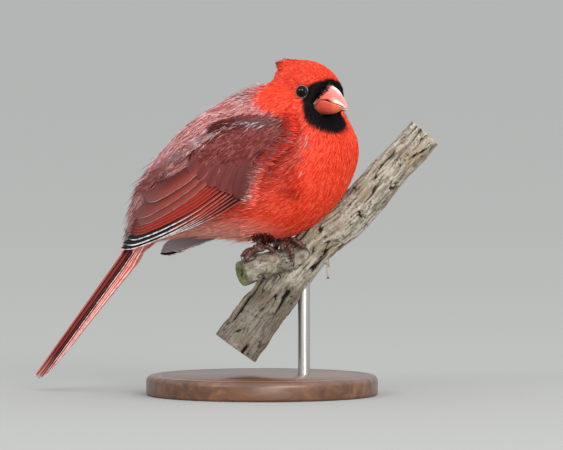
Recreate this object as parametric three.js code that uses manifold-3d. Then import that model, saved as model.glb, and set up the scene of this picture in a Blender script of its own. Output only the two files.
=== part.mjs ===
// A male northern cardinal, fluffed against the cold, on a cut length of branch that a plain stand holds.
// Units are millimetres, at life size. The root frame has +Z up, with its origin at the middle of the
// stand's underside. The bird's own frame has +X forward, +Y to its left and +Z up, about the same origin.
import * as THREE from "three";
import { mergeVertices } from "three/addons/utils/BufferGeometryUtils.js";
import Module from "manifold-3d";

const wasm = await Module();
wasm.setup();

// Clearances
const GAP = 0.3; // left between pieces that touch
const WELD = 1e-4; // vertices nearer than this are one

// Pose, in degrees
const BODY_YAW = -20; // the body's turn towards the viewer
const HEAD_YAW = -30; // the head's further turn on the body
const TAIL_DROP = 53; // the tail below the horizontal
const TAIL_ROLL = 12; // the tail's right side down
const LEFT_WING_DROOP = 2.6;
const LEFT_WING_SHIFT = 6; // the left wing sits this far forward

// Torso: back and belly points in the middle plane as [x, z], from tail to neck, and the half width at each
const TORSO = {
  back: [
    [-71, 78], [-71, 84], [-66, 100], [-57, 114.5], [-45, 129], [-30, 141], [-14, 149.5], [0, 155], [13, 157],
    [26, 154], [37, 144],
  ],
  belly: [
    [-71, 78], [-64, 74], [-53, 77], [-41, 79], [-26, 79], [-8, 78], [12, 78.5], [30, 87.5], [43.5, 103],
    [49, 122], [41, 141],
  ],
  half: [0, 7, 14, 20.5, 26, 29.5, 31, 30.8, 28, 21, 0],
};
const TORSO_AROUND = 24;
const TORSO_ALONG = 18;

// Head, in its own frame: +X towards the bill, +Z up
const HEAD_AT = [22.3, 0, 150];
const HEAD = {
  back: [
    [-16, 2], [-15, 10.5], [-9.5, 16.2], [-1, 18], [7, 17.2], [12.8, 15.3], [17.6, 11.9], [20.2, 7.4],
    [17.6, -1],
  ],
  belly: [
    [-16, 2], [-15, -9], [-11, -16], [-4, -20], [5, -20.5], [11, -19.5], [14.4, -17], [15.5, -12], [17.6, -1],
  ],
  half: [0, 9.6, 12.4, 13.3, 13.4, 13.2, 12.5, 10.2, 0],
};
const HEAD_AROUND = 22;
const HEAD_ALONG = 16;

// Neck: a collar from the shoulders into the head, in the bird's frame, and the plane below it
const NECK_FROM = [12, 0, 132];
const NECK_FROM_RADII = [29, 26]; // along X, along Y
const NECK_TO = [18.5, 0, 159.2];
const NECK_TO_RADII = [13.1, 10.5];
const NECK_PLANE_AT = [22, 0, 141];
const NECK_PLANE_TILT = 28; // down towards the breast

// Eyes and lids, in the head's frame, given for the left side
const EYE_AT = [11.6, 9, 2.2];
const EYE_OUT = [0.3, 0.93, 0.08]; // the way the eye looks
const EYE_RADIUS = 4.1;
const LID_RADIUS = 3.2;
const LID_TUBE = 0.55;
const LID_PROUD = 2.9; // the lid's plane from the eye's centre

// Bill, in the head's frame: culmen, cutting edge and underside as [x, z], and the half width at each
const CULMEN = [[11, 6], [17, 6.6], [20, 6], [25.5, 3.8], [29.5, 0.6], [32.2, -2.8], [33.2, -5.4]];
const CUTTING_EDGE = [
  [11, -4], [15.3, -4.3], [18.4, -1.9], [21.5, -1.8], [26.7, -3.3], [30.5, -4.5], [32.9, -5.9],
];
const GONYS = [[11, -9], [15, -9.2], [18, -9], [22, -8.6], [25.5, -7.8], [28.4, -6.4], [30.8, -5.4]];
const BILL_HALF = [6.1, 6, 5.5, 4.5, 3, 1.5, 0.5];
const UPPER_ROOF = 1.15; // above 1 the upper half falls away from its ridge like a roof
const LOWER_KEEL = 0.8;
const NOSTRIL_AT = [20.2, 2.6, 2.6];
const NOSTRIL_RADIUS = 0.75;

// Crest, in the head's frame
const CREST_CORE = [[2, 0, 13], [-8, 0, 15.4], [-15.5, 0, 16]];
const CREST_CORE_RADII = [7, 5.4, 1.6];
const CREST_CORE_FLAT = 0.5;
const CREST_TIP = [-20.8, 0, 16.6];
const CREST_ROWS = [[5, 2.8, 2], [-1, 4.6, 3], [-6, 4.6, 3], [-10, 3.2, 3]]; // root x, half spread, count
const CREST_WIDTH = 1.9;
const CREST_THICK = 0.6;

// Tail, in its own frame: feathers run along -X, the upper side is +Z
const TAIL_ROOT = [-61.5, 0, 84];
const TAIL_LENGTH = 98;
const TAIL_SHORTER = [0, 0.5, 2, 5, 10, 18]; // each pair short of the longest
const TAIL_WIDTHS = [5.8, 6.4, 7, 7.6, 8.2, 8.8]; // outer edge of each pair from the middle
const TAIL_NARROWS = 0.6; // width at the tips, as a share of the widest
const TAIL_STEP = 0.9;
const TAIL_ROOF = 0.36; // slope of the tail's sides
const TAIL_THICK = 0.55;

// Wing bed: the surface the folded wing lies on, as for the torso, from behind the tail root to the shoulder
const BED = {
  back: [
    [-92, 74], [-79, 90], [-68, 104], [-58.5, 117], [-46, 131.5], [-30.5, 143.5], [-14, 152], [0, 157.5],
    [13, 159.5], [27, 157],
  ],
  belly: [
    [-74, 50], [-64, 57], [-53, 64], [-41, 68], [-26, 70], [-8, 70], [11, 74], [28, 84], [41, 100], [50, 122],
  ],
  half: [9.5, 14, 18.5, 23, 27.5, 31, 32.6, 32.6, 30.5, 26],
};
const BED_SQUARE = 2.3; // 2 would be an oval
const SHOULDER = [20, 135];

// Folded wing, in the side view as [x, z]: root, tip, half widths below and above the shaft
const FLIGHT_THICK = 0.6;
const FLIGHT_TILT = -0.34; // how far each flight feather's lower edge stands over the one below it
const SAG = 0.034; // each wing feather's bow, as a share of its length
const PRIMARIES = [
  [[3.4, 101], [-44, 81.2], 1.4, 0.9],
  [[2.1, 102.3], [-54.5, 77.9], 1.6, 1],
  [[0.8, 103.6], [-63.5, 75.2], 1.9, 1.1],
  [[-0.5, 105], [-69.3, 73.4], 2.4, 1.1],
  [[-1.8, 106.3], [-67.8, 76], 3, 1.2],
  [[-3, 107.8], [-65.4, 78.8], 3, 1.2],
];
const SECONDARIES = [
  [[-4, 109.5], [-63.6, 81.4], 3, 1],
  [[-5, 110.8], [-62.9, 83], 3, 1],
  [[-6, 112.1], [-62.2, 84.6], 3, 1],
  [[-7, 113.4], [-61.5, 86], 3, 1],
  [[-8, 114.7], [-60.9, 87.4], 3, 1],
];
const TERTIALS = [
  [[-10, 114.5], [-58.6, 86.6], 3.4, 2.6],
  [[-13, 116.5], [-60.6, 89.4], 3.4, 2.8],
  [[-16, 119.5], [-53.6, 98.2], 4, 3.6],
];
const TERTIAL_THICK = 0.65;
const COVERT_THICK = 0.6;
const GREATER_COVERTS = [
  [[-17.9, 122.6], [-27.1, 112]],
  [[-12.8, 122.2], [-21.4, 108.6]],
  [[-7.7, 121.3], [-15.9, 105.2]],
  [[-2.8, 120.4], [-10.5, 103.3]],
  [[1.6, 120], [-6, 101.9]],
  [[5.3, 118.6], [-0.8, 99.7]],
];
const GREATER_HALF = 3.6;
const MEDIAN_COVERTS = [
  [[-14.5, 128.5], [-24.1, 121.2]],
  [[-8.6, 128.3], [-18.8, 119.1]],
  [[-3.2, 127.6], [-13.1, 117.3]],
  [[2.2, 126.8], [-7.6, 116.4]],
  [[7.4, 125.8], [-1.1, 116]],
];
const MEDIAN_HALF = 3.5;
const COVERT_SUNK = 1.5; // how far a covert's root lies below its blade
const ARM_HIGH = [1, 2.4]; // how far the arm stands off the bed, low down and high up
const ARM_EDGE = 1.8; // its edge lies this far under the bed
const ARM_MIDDLE = [0, 119];
const ARM_OUTLINE = [
  [26, 135], [22.6, 129.6], [17, 126], [9.6, 121.5], [5.4, 112], [4, 99.4], [-7, 97.5], [-16, 103],
  [-25, 112], [-27, 121], [-17.6, 128.3], [-8.6, 134.5], [0, 137.7], [8.5, 139.3], [19.6, 139],
];

// Legs and feet
const LEG_X = 4;
const LEG_Y = 9.5;
const LEG_RADIUS = 1.5;
const TOE_RADIUS = 1.25;
const TOE_ARCH = 1.9;
const PALM_RADIUS = 3;
const PALM_HIGH = 3.4;
const CLAW_RADIUS = 0.85;
const CLAW_REACH = 5.2;
const RIGHT_FOOT_AT = 0.68; // share of the stub's length
const LEFT_FOOT_AT = 0.36;
// Toes, from inner to hind: start and end along the stub, reach round it in degrees, size
const RIGHT_TOES = [[-1.2, -5, 42, 1], [1.4, 10.4, 8, 1], [0.8, 11.8, 40, 1.1], [0, 0.5, -84, 1.1]];
const LEFT_TOES = [[-1, -7.6, 66, 1.1], [0, 0.6, 92, 1.1], [1.2, 4.2, 56, 1], [0, 0, -80, 1.1]];
const FOOT_POCKET = [17, 14, 7]; // room in the belly over each foot

// Perch, in the root frame
const BRANCH_LINE = [
  [-13, 3, 22.5], [4.5, 4, 47], [24, 5.5, 72.5], [45, 7, 90.5], [61, 8, 108], [82, 9, 131],
];
const BRANCH_RADII = [12.4, 11.2, 10.5, 10.2, 9.4, 9];
const STUB_LINE = [[24, 4, 70], [12, -3.5, 67.7], [0, -9.5, 64.6], [-10.5, -15, 61.3]];
const STUB_RADII = [8, 6.6, 6.4, 6.5];
const TWIG_LINE = [[31, 5, 74], [33, 4, 66], [33, 3.5, 57.5]];

// Stand
const BASE_RADIUS = 58;
const BASE_THICK = 10;
const ROD_RADIUS = 3;
const ROD_AT = [21, 5];
const ROD_SUNK = 6; // into the base and into the branch

const rad = THREE.MathUtils.degToRad;
const mix = THREE.MathUtils.lerp;
const vec = (x, y, z) => new THREE.Vector3(x, y, z);

// A geometry with its shared vertices merged, its collapsed faces dropped and its faces pointing out.
function welded(geometry) {
  const g = geometry.clone();
  g.deleteAttribute("normal");
  g.deleteAttribute("uv");
  const merged = mergeVertices(g, WELD);
  const p = merged.attributes.position;
  const [a, b, c] = [vec(), vec(), vec()];
  const index = [];
  let volume = 0;
  for (let i = 0; i < merged.index.count; i += 3) {
    const [i0, i1, i2] = [0, 1, 2].map((k) => merged.index.getX(i + k));
    if (i0 === i1 || i1 === i2 || i2 === i0) continue;
    index.push(i0, i1, i2);
    a.fromBufferAttribute(p, i0);
    volume += a.dot(b.fromBufferAttribute(p, i1).cross(c.fromBufferAttribute(p, i2)));
  }
  if (volume < 0) index.reverse();
  return merged.setIndex(index);
}

// Moves every vertex of a closed geometry to where place puts it.
function shaped(geometry, place) {
  const position = geometry.attributes.position;
  const v = vec();
  for (let i = 0; i < position.count; i++) {
    v.fromBufferAttribute(position, i);
    place(v);
    position.setXYZ(i, v.x, v.y, v.z);
  }
  return welded(geometry);
}

// The same shape with its surface moved out by a distance.
function grown(geometry, by) {
  const g = welded(geometry);
  g.computeVertexNormals();
  const { position, normal } = g.attributes;
  for (let i = 0; i < position.count; i++) {
    position.setXYZ(
      i,
      position.getX(i) + normal.getX(i) * by,
      position.getY(i) + normal.getY(i) * by,
      position.getZ(i) + normal.getZ(i) * by,
    );
  }
  g.deleteAttribute("normal");
  return g;
}

function solid(geometry) {
  const g = welded(geometry);
  return new wasm.Manifold(
    new wasm.Mesh({
      numProp: 3,
      vertProperties: new Float32Array(g.attributes.position.array),
      triVerts: new Uint32Array(g.index.array),
    }),
  );
}

// One solid from several, less the cutters, and of that the largest closed piece.
function fused(geometries, cutters = []) {
  let made = geometries.map(solid).reduce((all, one) => all.add(one));
  for (const cutter of cutters) made = made.subtract(solid(cutter));
  return made.decompose().sort((a, b) => b.volume() - a.volume())[0];
}

function asGeometry(made) {
  const m = made.getMesh();
  const points = new Float32Array(m.numVert * 3);
  for (let i = 0; i < m.numVert; i++) {
    points.set(m.vertProperties.subarray(i * m.numProp, i * m.numProp + 3), i * 3);
  }
  return new THREE.BufferGeometry()
    .setAttribute("position", new THREE.BufferAttribute(points, 3))
    .setIndex(new THREE.BufferAttribute(m.triVerts, 1));
}

// A geometry made in one group's frame, as it lies in another's.
function inFrame(geometry, from, to) {
  return geometry.clone().applyMatrix4(to.matrixWorld.clone().invert().multiply(from.matrixWorld));
}

function mirrored(geometry) {
  return welded(geometry.clone().applyMatrix4(new THREE.Matrix4().makeScale(1, -1, 1)));
}

const colour = (hex, roughness, metalness = 0) =>
  new THREE.MeshStandardMaterial({ color: hex, roughness, metalness });

// Materials
const RED = colour(0xd8301c, 0.85);
const DULL_RED = colour(0x8d3a33, 0.85);
const CORAL = colour(0xe06a4e, 0.4);
const DARK_BROWN = colour(0x3a1a18, 0.5);
const CLAW_GREY = colour(0x2c2626, 0.35);
const EYE_BLACK = colour(0x120c0a, 0.05);
const BARK = colour(0x8b8578, 0.95);
const WALNUT = colour(0x5a3a26, 0.45);
const STEEL = colour(0x8f8f8c, 0.3, 1);

// Groups: each is a frame
const root = new THREE.Group();
const bird = new THREE.Group();
const head = new THREE.Group();
const tail = new THREE.Group();
root.add(bird);
bird.add(head, tail);
bird.rotation.z = rad(BODY_YAW);
head.position.set(...HEAD_AT);
head.rotation.z = rad(HEAD_YAW);
tail.position.set(...TAIL_ROOT);
tail.rotation.set(rad(TAIL_ROLL), rad(-TAIL_DROP), 0, "YXZ");
root.updateMatrixWorld(true);

function addNode(group, name, made, material) {
  const mesh = new THREE.Mesh(asGeometry(made), material);
  mesh.name = name;
  group.add(mesh);
}

// A curve through points given in a plane as [x, z].
const planeCurve = (points) =>
  new THREE.CatmullRomCurve3(points.map(([x, z]) => vec(x, 0, z)), false, "catmullrom", 0.5);
const numberCurve = (values) => new THREE.SplineCurve(values.map((w, i) => new THREE.Vector2(i, w)));
const spaceCurve = (points) =>
  new THREE.CatmullRomCurve3(points.map((p) => vec(...p)), false, "catmullrom", 0.5);

// Ribs between a back line and a belly line, read at t from 0 to 1.
function ribReader({ back, belly, half }) {
  const [top, bottom, width] = [planeCurve(back), planeCurve(belly), numberCurve(half)];
  return (t) => ({ top: top.getPoint(t), bottom: bottom.getPoint(t), half: width.getPoint(t).y });
}

// A closed body over such ribs, each rib an oval.
function ribbed(readRib, around, along) {
  return shaped(new THREE.SphereGeometry(1, around, along), (v) => {
    const t = Math.acos(THREE.MathUtils.clamp(v.y, -1, 1)) / Math.PI;
    const ring = Math.hypot(v.x, v.z);
    const pole = ring < 1e-6;
    const rib = readRib(t);
    const [up, side] = pole ? [0, 0] : [v.x / ring, (rib.half * v.z) / ring];
    v.copy(rib.top).lerp(rib.bottom, (1 - up) / 2);
    v.y = side;
  });
}

// A closed limb along a curve with pointed ends; radiusAt reads t and the angle around.
function limb(curve, radiusAt, around, along, flatness = 1) {
  const frames = curve.computeFrenetFrames(along, false);
  return shaped(new THREE.SphereGeometry(1, around, along), (v) => {
    const step = Math.round((Math.acos(THREE.MathUtils.clamp(v.y, -1, 1)) / Math.PI) * along);
    const ring = Math.hypot(v.x, v.z);
    const t = step / along;
    const at = curve.getPointAt(t);
    if (ring > 1e-6) {
      const angle = Math.atan2(v.z, v.x);
      const r = radiusAt(t, angle);
      at.addScaledVector(frames.normals[step], r * Math.cos(angle));
      at.addScaledVector(frames.binormals[step], r * Math.sin(angle) * flatness);
    }
    v.copy(at);
  });
}

// A length of branch along a curve with sawn ends.
function bough(curve, radiusAt, around, along) {
  const frames = curve.computeFrenetFrames(along, false);
  return shaped(new THREE.CylinderGeometry(1, 1, 1, around, along), (v) => {
    const step = Math.round((0.5 - v.y) * along);
    const ring = Math.hypot(v.x, v.z);
    const t = step / along;
    const at = curve.getPointAt(t);
    if (ring > 1e-6) {
      const angle = Math.atan2(v.z, v.x);
      const r = radiusAt(t, angle);
      at.addScaledVector(frames.normals[step], r * Math.cos(angle));
      at.addScaledVector(frames.binormals[step], r * Math.sin(angle));
    }
    v.copy(at);
  });
}

// A feather's vane: stations along it, each with places across, on an outer and an inner face.
// place(s, across, face) gives the point, with s from root to tip, across from -1 to 1 and face 1 or -1.
const BROAD = [-1, 0, 1];
const NARROW = [-1, 1];
function vane(stations, places, place) {
  const n = places.length;
  const points = stations.flatMap((s) =>
    [1, -1].flatMap((face) => places.flatMap((a) => place(s, a, face).toArray())));
  const index = [];
  const quad = (a, b, c, d, flip) => index.push(...(flip ? [a, b, d, b, c, d] : [a, b, c, a, c, d]));
  const last = (stations.length - 1) * 2 * n;
  for (let i = 0; i < last; i += 2 * n) {
    for (let k = 0; k < n - 1; k++) {
      quad(i + k, i + k + 1, i + 2 * n + k + 1, i + 2 * n + k);
      quad(i + n + k, i + 3 * n + k, i + 3 * n + k + 1, i + n + k + 1);
    }
    quad(i, i + 2 * n, i + 3 * n, i + n);
    quad(i + n - 1, i + 2 * n - 1, i + 4 * n - 1, i + 3 * n - 1);
  }
  for (let k = 0; k < n - 1; k++) {
    quad(k, k + n, k + n + 1, k + 1);
    quad(last + k, last + k + 1, last + k + n + 1, last + k + n);
  }
  return welded(
    new THREE.BufferGeometry()
      .setAttribute("position", new THREE.BufferAttribute(new Float32Array(points), 3))
      .setIndex(index),
  );
}

// How wide a vane is at s, as a share of its full width; round is where the tip's curve begins.
function vaneWidth(s, round, atRoot = 0.45) {
  if (s > round) return Math.max(0.2, Math.sqrt(Math.max(0, 1 - ((s - round) / (1 - round)) ** 2)));
  return mix(atRoot, 1, Math.min(1, s * 3));
}

// Torso, neck and head
const readTorso = ribReader(TORSO);
const torsoCore = ribbed(readTorso, TORSO_AROUND, TORSO_ALONG);
const headCore = ribbed(ribReader(HEAD), HEAD_AROUND, HEAD_ALONG);
const neckCore = shaped(new THREE.SphereGeometry(1, 22, 10), (v) => {
  const t = (v.y + 1) / 2;
  const ring = Math.hypot(v.x, v.z) || 1;
  const full = Math.min(1, 1.6 * Math.sqrt(Math.max(0, 1 - v.y * v.y)));
  const blend = t * t * (3 - 2 * t);
  const rx = mix(NECK_FROM_RADII[0], NECK_TO_RADII[0], blend) * full;
  const ry = mix(NECK_FROM_RADII[1], NECK_TO_RADII[1], blend) * full;
  const [x, y] = [(rx * v.x) / ring, (ry * v.z) / ring];
  v.set(...NECK_FROM).lerp(vec(...NECK_TO), t);
  v.x += x;
  v.y += y;
});
const torsoCutter = grown(torsoCore, GAP);
const headCutter = inFrame(grown(headCore, GAP), head, bird);

// Perch
const branchCurve = spaceCurve(BRANCH_LINE);
const branchRadius = numberCurve(BRANCH_RADII);
const branchCore = bough(
  branchCurve,
  (t, a) =>
    branchRadius.getPoint(t).y * (1 + 0.035 * Math.sin(3 * a + 7 * t) + 0.025 * Math.sin(7 * a - 11 * t)),
  18,
  12,
);
const stubCurve = spaceCurve(STUB_LINE);
const stubRadius = numberCurve(STUB_RADII);
const stubCore = bough(
  stubCurve,
  (t, a) => stubRadius.getPoint(t).y * (1 + 0.04 * Math.sin(2 * a + 5 * t)),
  16,
  8,
);
const twigCore = limb(spaceCurve(TWIG_LINE), (t) => mix(1.4, 0.7, t), 8, 6);
const rodBore = new THREE.CylinderGeometry(ROD_RADIUS + GAP, ROD_RADIUS + GAP, 60, 24);
const branchUnder = 52.6; // height of the branch's underside over the rod
const rodTop = branchUnder + ROD_SUNK;
rodBore.rotateX(Math.PI / 2).translate(ROD_AT[0], ROD_AT[1], rodTop + GAP - 30);
const perchMade = fused([branchCore, stubCore, twigCore], [rodBore]);
const perchCutters = [grown(branchCore, GAP), grown(stubCore, GAP)];

// Stand
const base = new THREE.LatheGeometry(
  [
    [0, 0], [BASE_RADIUS - 1.5, 0], [BASE_RADIUS, 1.5], [BASE_RADIUS, BASE_THICK - 3],
    [BASE_RADIUS - 0.9, BASE_THICK - 0.9], [BASE_RADIUS - 3, BASE_THICK], [0, BASE_THICK],
  ].map(([r, z]) => new THREE.Vector2(r, z)),
  40,
).rotateX(Math.PI / 2);
const rodLength = rodTop - (BASE_THICK - ROD_SUNK);
const rod = new THREE.CylinderGeometry(ROD_RADIUS, ROD_RADIUS, rodLength, 24)
  .rotateX(Math.PI / 2)
  .translate(ROD_AT[0], ROD_AT[1], rodTop - rodLength / 2);
const rodSocket = new THREE.CylinderGeometry(ROD_RADIUS + GAP, ROD_RADIUS + GAP, 40, 24)
  .rotateX(Math.PI / 2)
  .translate(ROD_AT[0], ROD_AT[1], BASE_THICK - ROD_SUNK - GAP + 20);

addNode(root, "perch", perchMade, BARK);
addNode(root, "stand_base", fused([base], [rodSocket]), WALNUT);
addNode(root, "stand_rod", fused([rod]), STEEL);

// Bill, in the head's frame: each half is a loft of D-shaped sections
function billHalf(outer, seam, side) {
  const [outerCurve, seamCurve, width] = [planeCurve(outer), planeCurve(seam), numberCurve(BILL_HALF)];
  return shaped(new THREE.SphereGeometry(1, 12, 8), (v) => {
    const t = Math.acos(THREE.MathUtils.clamp(v.y, -1, 1)) / Math.PI;
    const ring = Math.hypot(v.x, v.z);
    const [o, s] = [outerCurve.getPoint(t), seamCurve.getPoint(t)];
    if (ring < 1e-6) {
      v.copy(o).lerp(s, 0.5);
      return;
    }
    const [up, across] = [v.x / ring, v.z / ring];
    const seamZ = s.z + side * (GAP / 2);
    const x = mix(s.x, o.x, Math.max(0, up));
    const z = up > 0 ? mix(seamZ, o.z, up) : seamZ + side * 0.35 * Math.abs(up);
    const bulge = side > 0 ? UPPER_ROOF : LOWER_KEEL;
    v.set(x, width.getPoint(t).y * Math.sign(across) * Math.abs(across) ** bulge, z);
  });
}
const upperBill = billHalf(CULMEN, CUTTING_EDGE, 1);
const lowerBill = billHalf(GONYS, CUTTING_EDGE, -1);
const nostrils = [1, -1].map((side) =>
  new THREE.SphereGeometry(NOSTRIL_RADIUS, 8, 6)
    .scale(1.4, 1, 0.8)
    .translate(NOSTRIL_AT[0], side * (NOSTRIL_AT[1] + 1.6), NOSTRIL_AT[2]),
);
addNode(head, "bill_upper", fused([upperBill], nostrils), CORAL);
addNode(head, "bill_lower", fused([lowerBill], [grown(upperBill, GAP)]), CORAL);

// Eyes and lids
function eyeSet(side) {
  const out = vec(EYE_OUT[0], side * EYE_OUT[1], EYE_OUT[2]).normalize();
  const at = vec(EYE_AT[0], side * EYE_AT[1], EYE_AT[2]);
  const turn = new THREE.Quaternion().setFromUnitVectors(vec(0, 0, 1), out);
  const put = (g, away) =>
    g.applyQuaternion(turn).translate(...at.clone().addScaledVector(out, away).toArray());
  return {
    eye: put(new THREE.SphereGeometry(EYE_RADIUS, 14, 9), 0),
    socket: put(new THREE.SphereGeometry(EYE_RADIUS + GAP * 1.3, 14, 9), 0),
    lid: put(new THREE.TorusGeometry(LID_RADIUS, LID_TUBE, 5, 16), LID_PROUD),
  };
}
const [leftEye, rightEye] = [eyeSet(1), eyeSet(-1)];
addNode(head, "eye_left", fused([leftEye.eye]), EYE_BLACK);
addNode(head, "eye_right", fused([rightEye.eye]), EYE_BLACK);

// Crest: rows of narrow vanes over the crown, laid back to one peak
const crestTip = vec(...CREST_TIP);
const crown = planeCurve(HEAD.back);
function crownHeight(x, y) {
  let [lo, hi] = [0, 1];
  for (let i = 0; i < 24; i++) {
    const t = (lo + hi) / 2;
    if (crown.getPoint(t).x < x) lo = t;
    else hi = t;
  }
  return crown.getPoint(lo).z - (y * y) / 26;
}
const crestRadius = numberCurve(CREST_CORE_RADII);
const crestCore = limb(spaceCurve(CREST_CORE), (t) => crestRadius.getPoint(t).y, 12, 8, CREST_CORE_FLAT);
const crestVanes = [];
CREST_ROWS.forEach(([x, spread, count], row) => {
  for (let i = 0; i < count; i++) {
    const share = count === 1 ? 0 : (2 * i) / (count - 1) - 1;
    const start = vec(x, spread * share, crownHeight(x, spread * share) - 1.2);
    const reach = mix(0.62, 1, row / (CREST_ROWS.length - 1)) - 0.1 * Math.abs(share);
    const end = start.clone().lerp(crestTip.clone().add(vec(0, 3.2 * share, 1.4 - 0.95 * row)), reach);
    const lift = vec(mix(start.x, end.x, 0.5), mix(start.y, end.y, 0.5), 0);
    lift.z = Math.max(crownHeight(lift.x, lift.y) + 1.2, (start.z + end.z) / 2 + 0.6);
    const curve = new THREE.QuadraticBezierCurve3(start, lift, end);
    crestVanes.push(
      vane([0, 0.4, 0.8, 1], NARROW, (s, across, face) => {
        const at = curve.getPoint(s);
        const along = curve.getTangent(s);
        const sideways = vec(0, 1, 0).addScaledVector(along, -along.y).normalize();
        const normal = along.clone().cross(sideways).multiplyScalar(-1);
        const half = CREST_WIDTH * vaneWidth(s, 0.55, 0.7);
        at.addScaledVector(sideways, across * half);
        return at.addScaledVector(normal, (face * CREST_THICK) / 2);
      }),
    );
  }
});

addNode(
  head,
  "head",
  fused(
    [headCore, crestCore, leftEye.lid, rightEye.lid, ...crestVanes],
    [leftEye.socket, rightEye.socket, grown(upperBill, GAP * 1.3), grown(lowerBill, GAP * 1.3)],
  ),
  RED,
);

// Where a point of the side view lies on the wing bed: how far out, and which way the surface faces.
const readBed = ribReader(BED);
function bedDepth(x, z) {
  let [lo, hi] = [0, 1];
  let rib;
  for (let i = 0; i < 22; i++) {
    const t = (lo + hi) / 2;
    rib = readBed(t);
    const [dx, dz] = [rib.bottom.x - rib.top.x, rib.bottom.z - rib.top.z];
    if (dx * (z - rib.top.z) - dz * (x - rib.top.x) > 0) lo = t;
    else hi = t;
  }
  const [dx, dz] = [rib.bottom.x - rib.top.x, rib.bottom.z - rib.top.z];
  const down = ((x - rib.top.x) * dx + (z - rib.top.z) * dz) / (dx * dx + dz * dz);
  const u = Math.min(0.995, Math.abs(2 * down - 1));
  return rib.half * (1 - u ** BED_SQUARE) ** (1 / BED_SQUARE);
}

// A point on the left side's bed, raised off it along the surface's normal.
function onBed(x, z, off) {
  const e = 0.5;
  const d = bedDepth(x, z);
  const normal = vec(
    -(bedDepth(x + e, z) - bedDepth(x - e, z)) / (2 * e),
    1,
    -(bedDepth(x, z + e) - bedDepth(x, z - e)) / (2 * e),
  ).normalize();
  return vec(x, d, z).addScaledVector(normal, off);
}

// One folded wing, made as a left wing; droop turns it about the shoulder.
function wingPieces(droop, shift) {
  const [c, s] = [Math.cos(rad(droop)), Math.sin(rad(droop))];
  const placed = ([x, z]) => {
    const [dx, dz] = [x - SHOULDER[0], z - SHOULDER[1]];
    return [SHOULDER[0] + c * dx - s * dz + shift, SHOULDER[1] + s * dx + c * dz];
  };
  const point = (x, z, off) => onBed(...placed([x, z]), off);
  const feather = ([root, tip, below, above], style) => {
    const { thick, tilt, off, round, steps, places = BROAD, sunk = 0 } = style;
    const [ax, az] = root;
    const [bx, bz] = tip;
    const length = Math.hypot(bx - ax, bz - az);
    const [ux, uz] = [(bx - ax) / length, (bz - az) / length];
    return vane(steps, places, (t, across, face) => {
      const half = across < 0 ? below : above;
      const v = across * half * vaneWidth(t, round);
      const bow = SAG * length * 4 * t * (1 - t);
      const x = ax + ux * length * t + uz * (v - bow);
      const z = az + uz * length * t - ux * (v - bow);
      const ridge = across === 0 && face > 0 ? 0.18 : 0;
      return point(x, z, off - sunk * (1 - t) ** 3 + tilt * v + (face * thick) / 2 + ridge);
    });
  };
  const long = [0, 0.45, 0.94, 1];
  const short = [0, 0.5, 0.85, 1];
  const pieces = [];
  const add = (feathers, half, style) =>
    feathers.forEach((f) => pieces.push(feather(half ? [...f, half, half] : f, style)));
  const flight = {
    thick: FLIGHT_THICK, tilt: FLIGHT_TILT, off: 0.9, round: 0.88, steps: long, places: NARROW,
  };
  const covert = { thick: COVERT_THICK, steps: short, sunk: COVERT_SUNK };
  add([...PRIMARIES, ...SECONDARIES], 0, flight);
  add(TERTIALS, 0, { thick: TERTIAL_THICK, tilt: -0.2, off: 1.75, round: 0.8, steps: long });
  add(GREATER_COVERTS, GREATER_HALF, { ...covert, tilt: 0.1, off: 2.5, round: 0.6 });
  add(MEDIAN_COVERTS, MEDIAN_HALF, { ...covert, tilt: 0.1, off: 3, round: 0.55 });
  return pieces;
}

// The arm under the coverts: a pad on the bed, deep enough to meet the torso
const armAngles = ARM_OUTLINE.map(([x, z]) => Math.atan2(z - ARM_MIDDLE[1], x - ARM_MIDDLE[0]));
const armReach = ARM_OUTLINE.map(([x, z]) => Math.hypot(x - ARM_MIDDLE[0], z - ARM_MIDDLE[1]));
function armRadius(angle) {
  const turn = 2 * Math.PI;
  const order = armAngles
    .map((a, i) => [((a % turn) + turn) % turn, armReach[i]])
    .sort((p, q) => p[0] - q[0]);
  const a = ((angle % turn) + turn) % turn;
  const next = order.findIndex(([b]) => b > a);
  const [hi, lo] = [order[next < 0 ? 0 : next], order[(next <= 0 ? order.length : next) - 1]];
  const span = (hi[0] - lo[0] + turn) % turn || turn;
  return mix(lo[1], hi[1], ((a - lo[0] + turn) % turn) / span);
}
function armPad(droop, shift) {
  const [c, s] = [Math.cos(rad(droop)), Math.sin(rad(droop))];
  return shaped(new THREE.SphereGeometry(1, 18, 7).rotateX(Math.PI / 2), (v) => {
    const ring = Math.min(1, Math.hypot(v.x, v.y));
    const angle = Math.atan2(v.y, v.x);
    const r = armRadius(angle) * ring;
    const [x, z] = [ARM_MIDDLE[0] + r * Math.cos(angle), ARM_MIDDLE[1] + r * Math.sin(angle)];
    const [dx, dz] = [x - SHOULDER[0], z - SHOULDER[1]];
    const dome = Math.sqrt(Math.max(0, 1 - ring * ring));
    const high = mix(...ARM_HIGH, THREE.MathUtils.smoothstep(z, 108, 124));
    const off = (v.z > 0 ? high * dome ** 0.7 : -6 * dome ** 0.4) - ARM_EDGE * ring ** 6;
    v.copy(onBed(SHOULDER[0] + c * dx - s * dz + shift, SHOULDER[1] + s * dx + c * dz, off));
  });
}

const neckCutter = grown(neckCore, GAP);
const wingCutters = [torsoCutter, neckCutter, headCutter];
const leftWing = [armPad(LEFT_WING_DROOP, LEFT_WING_SHIFT), ...wingPieces(LEFT_WING_DROOP, LEFT_WING_SHIFT)];
const rightWing = [armPad(0, 0), ...wingPieces(0, 0)].map(mirrored);

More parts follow.
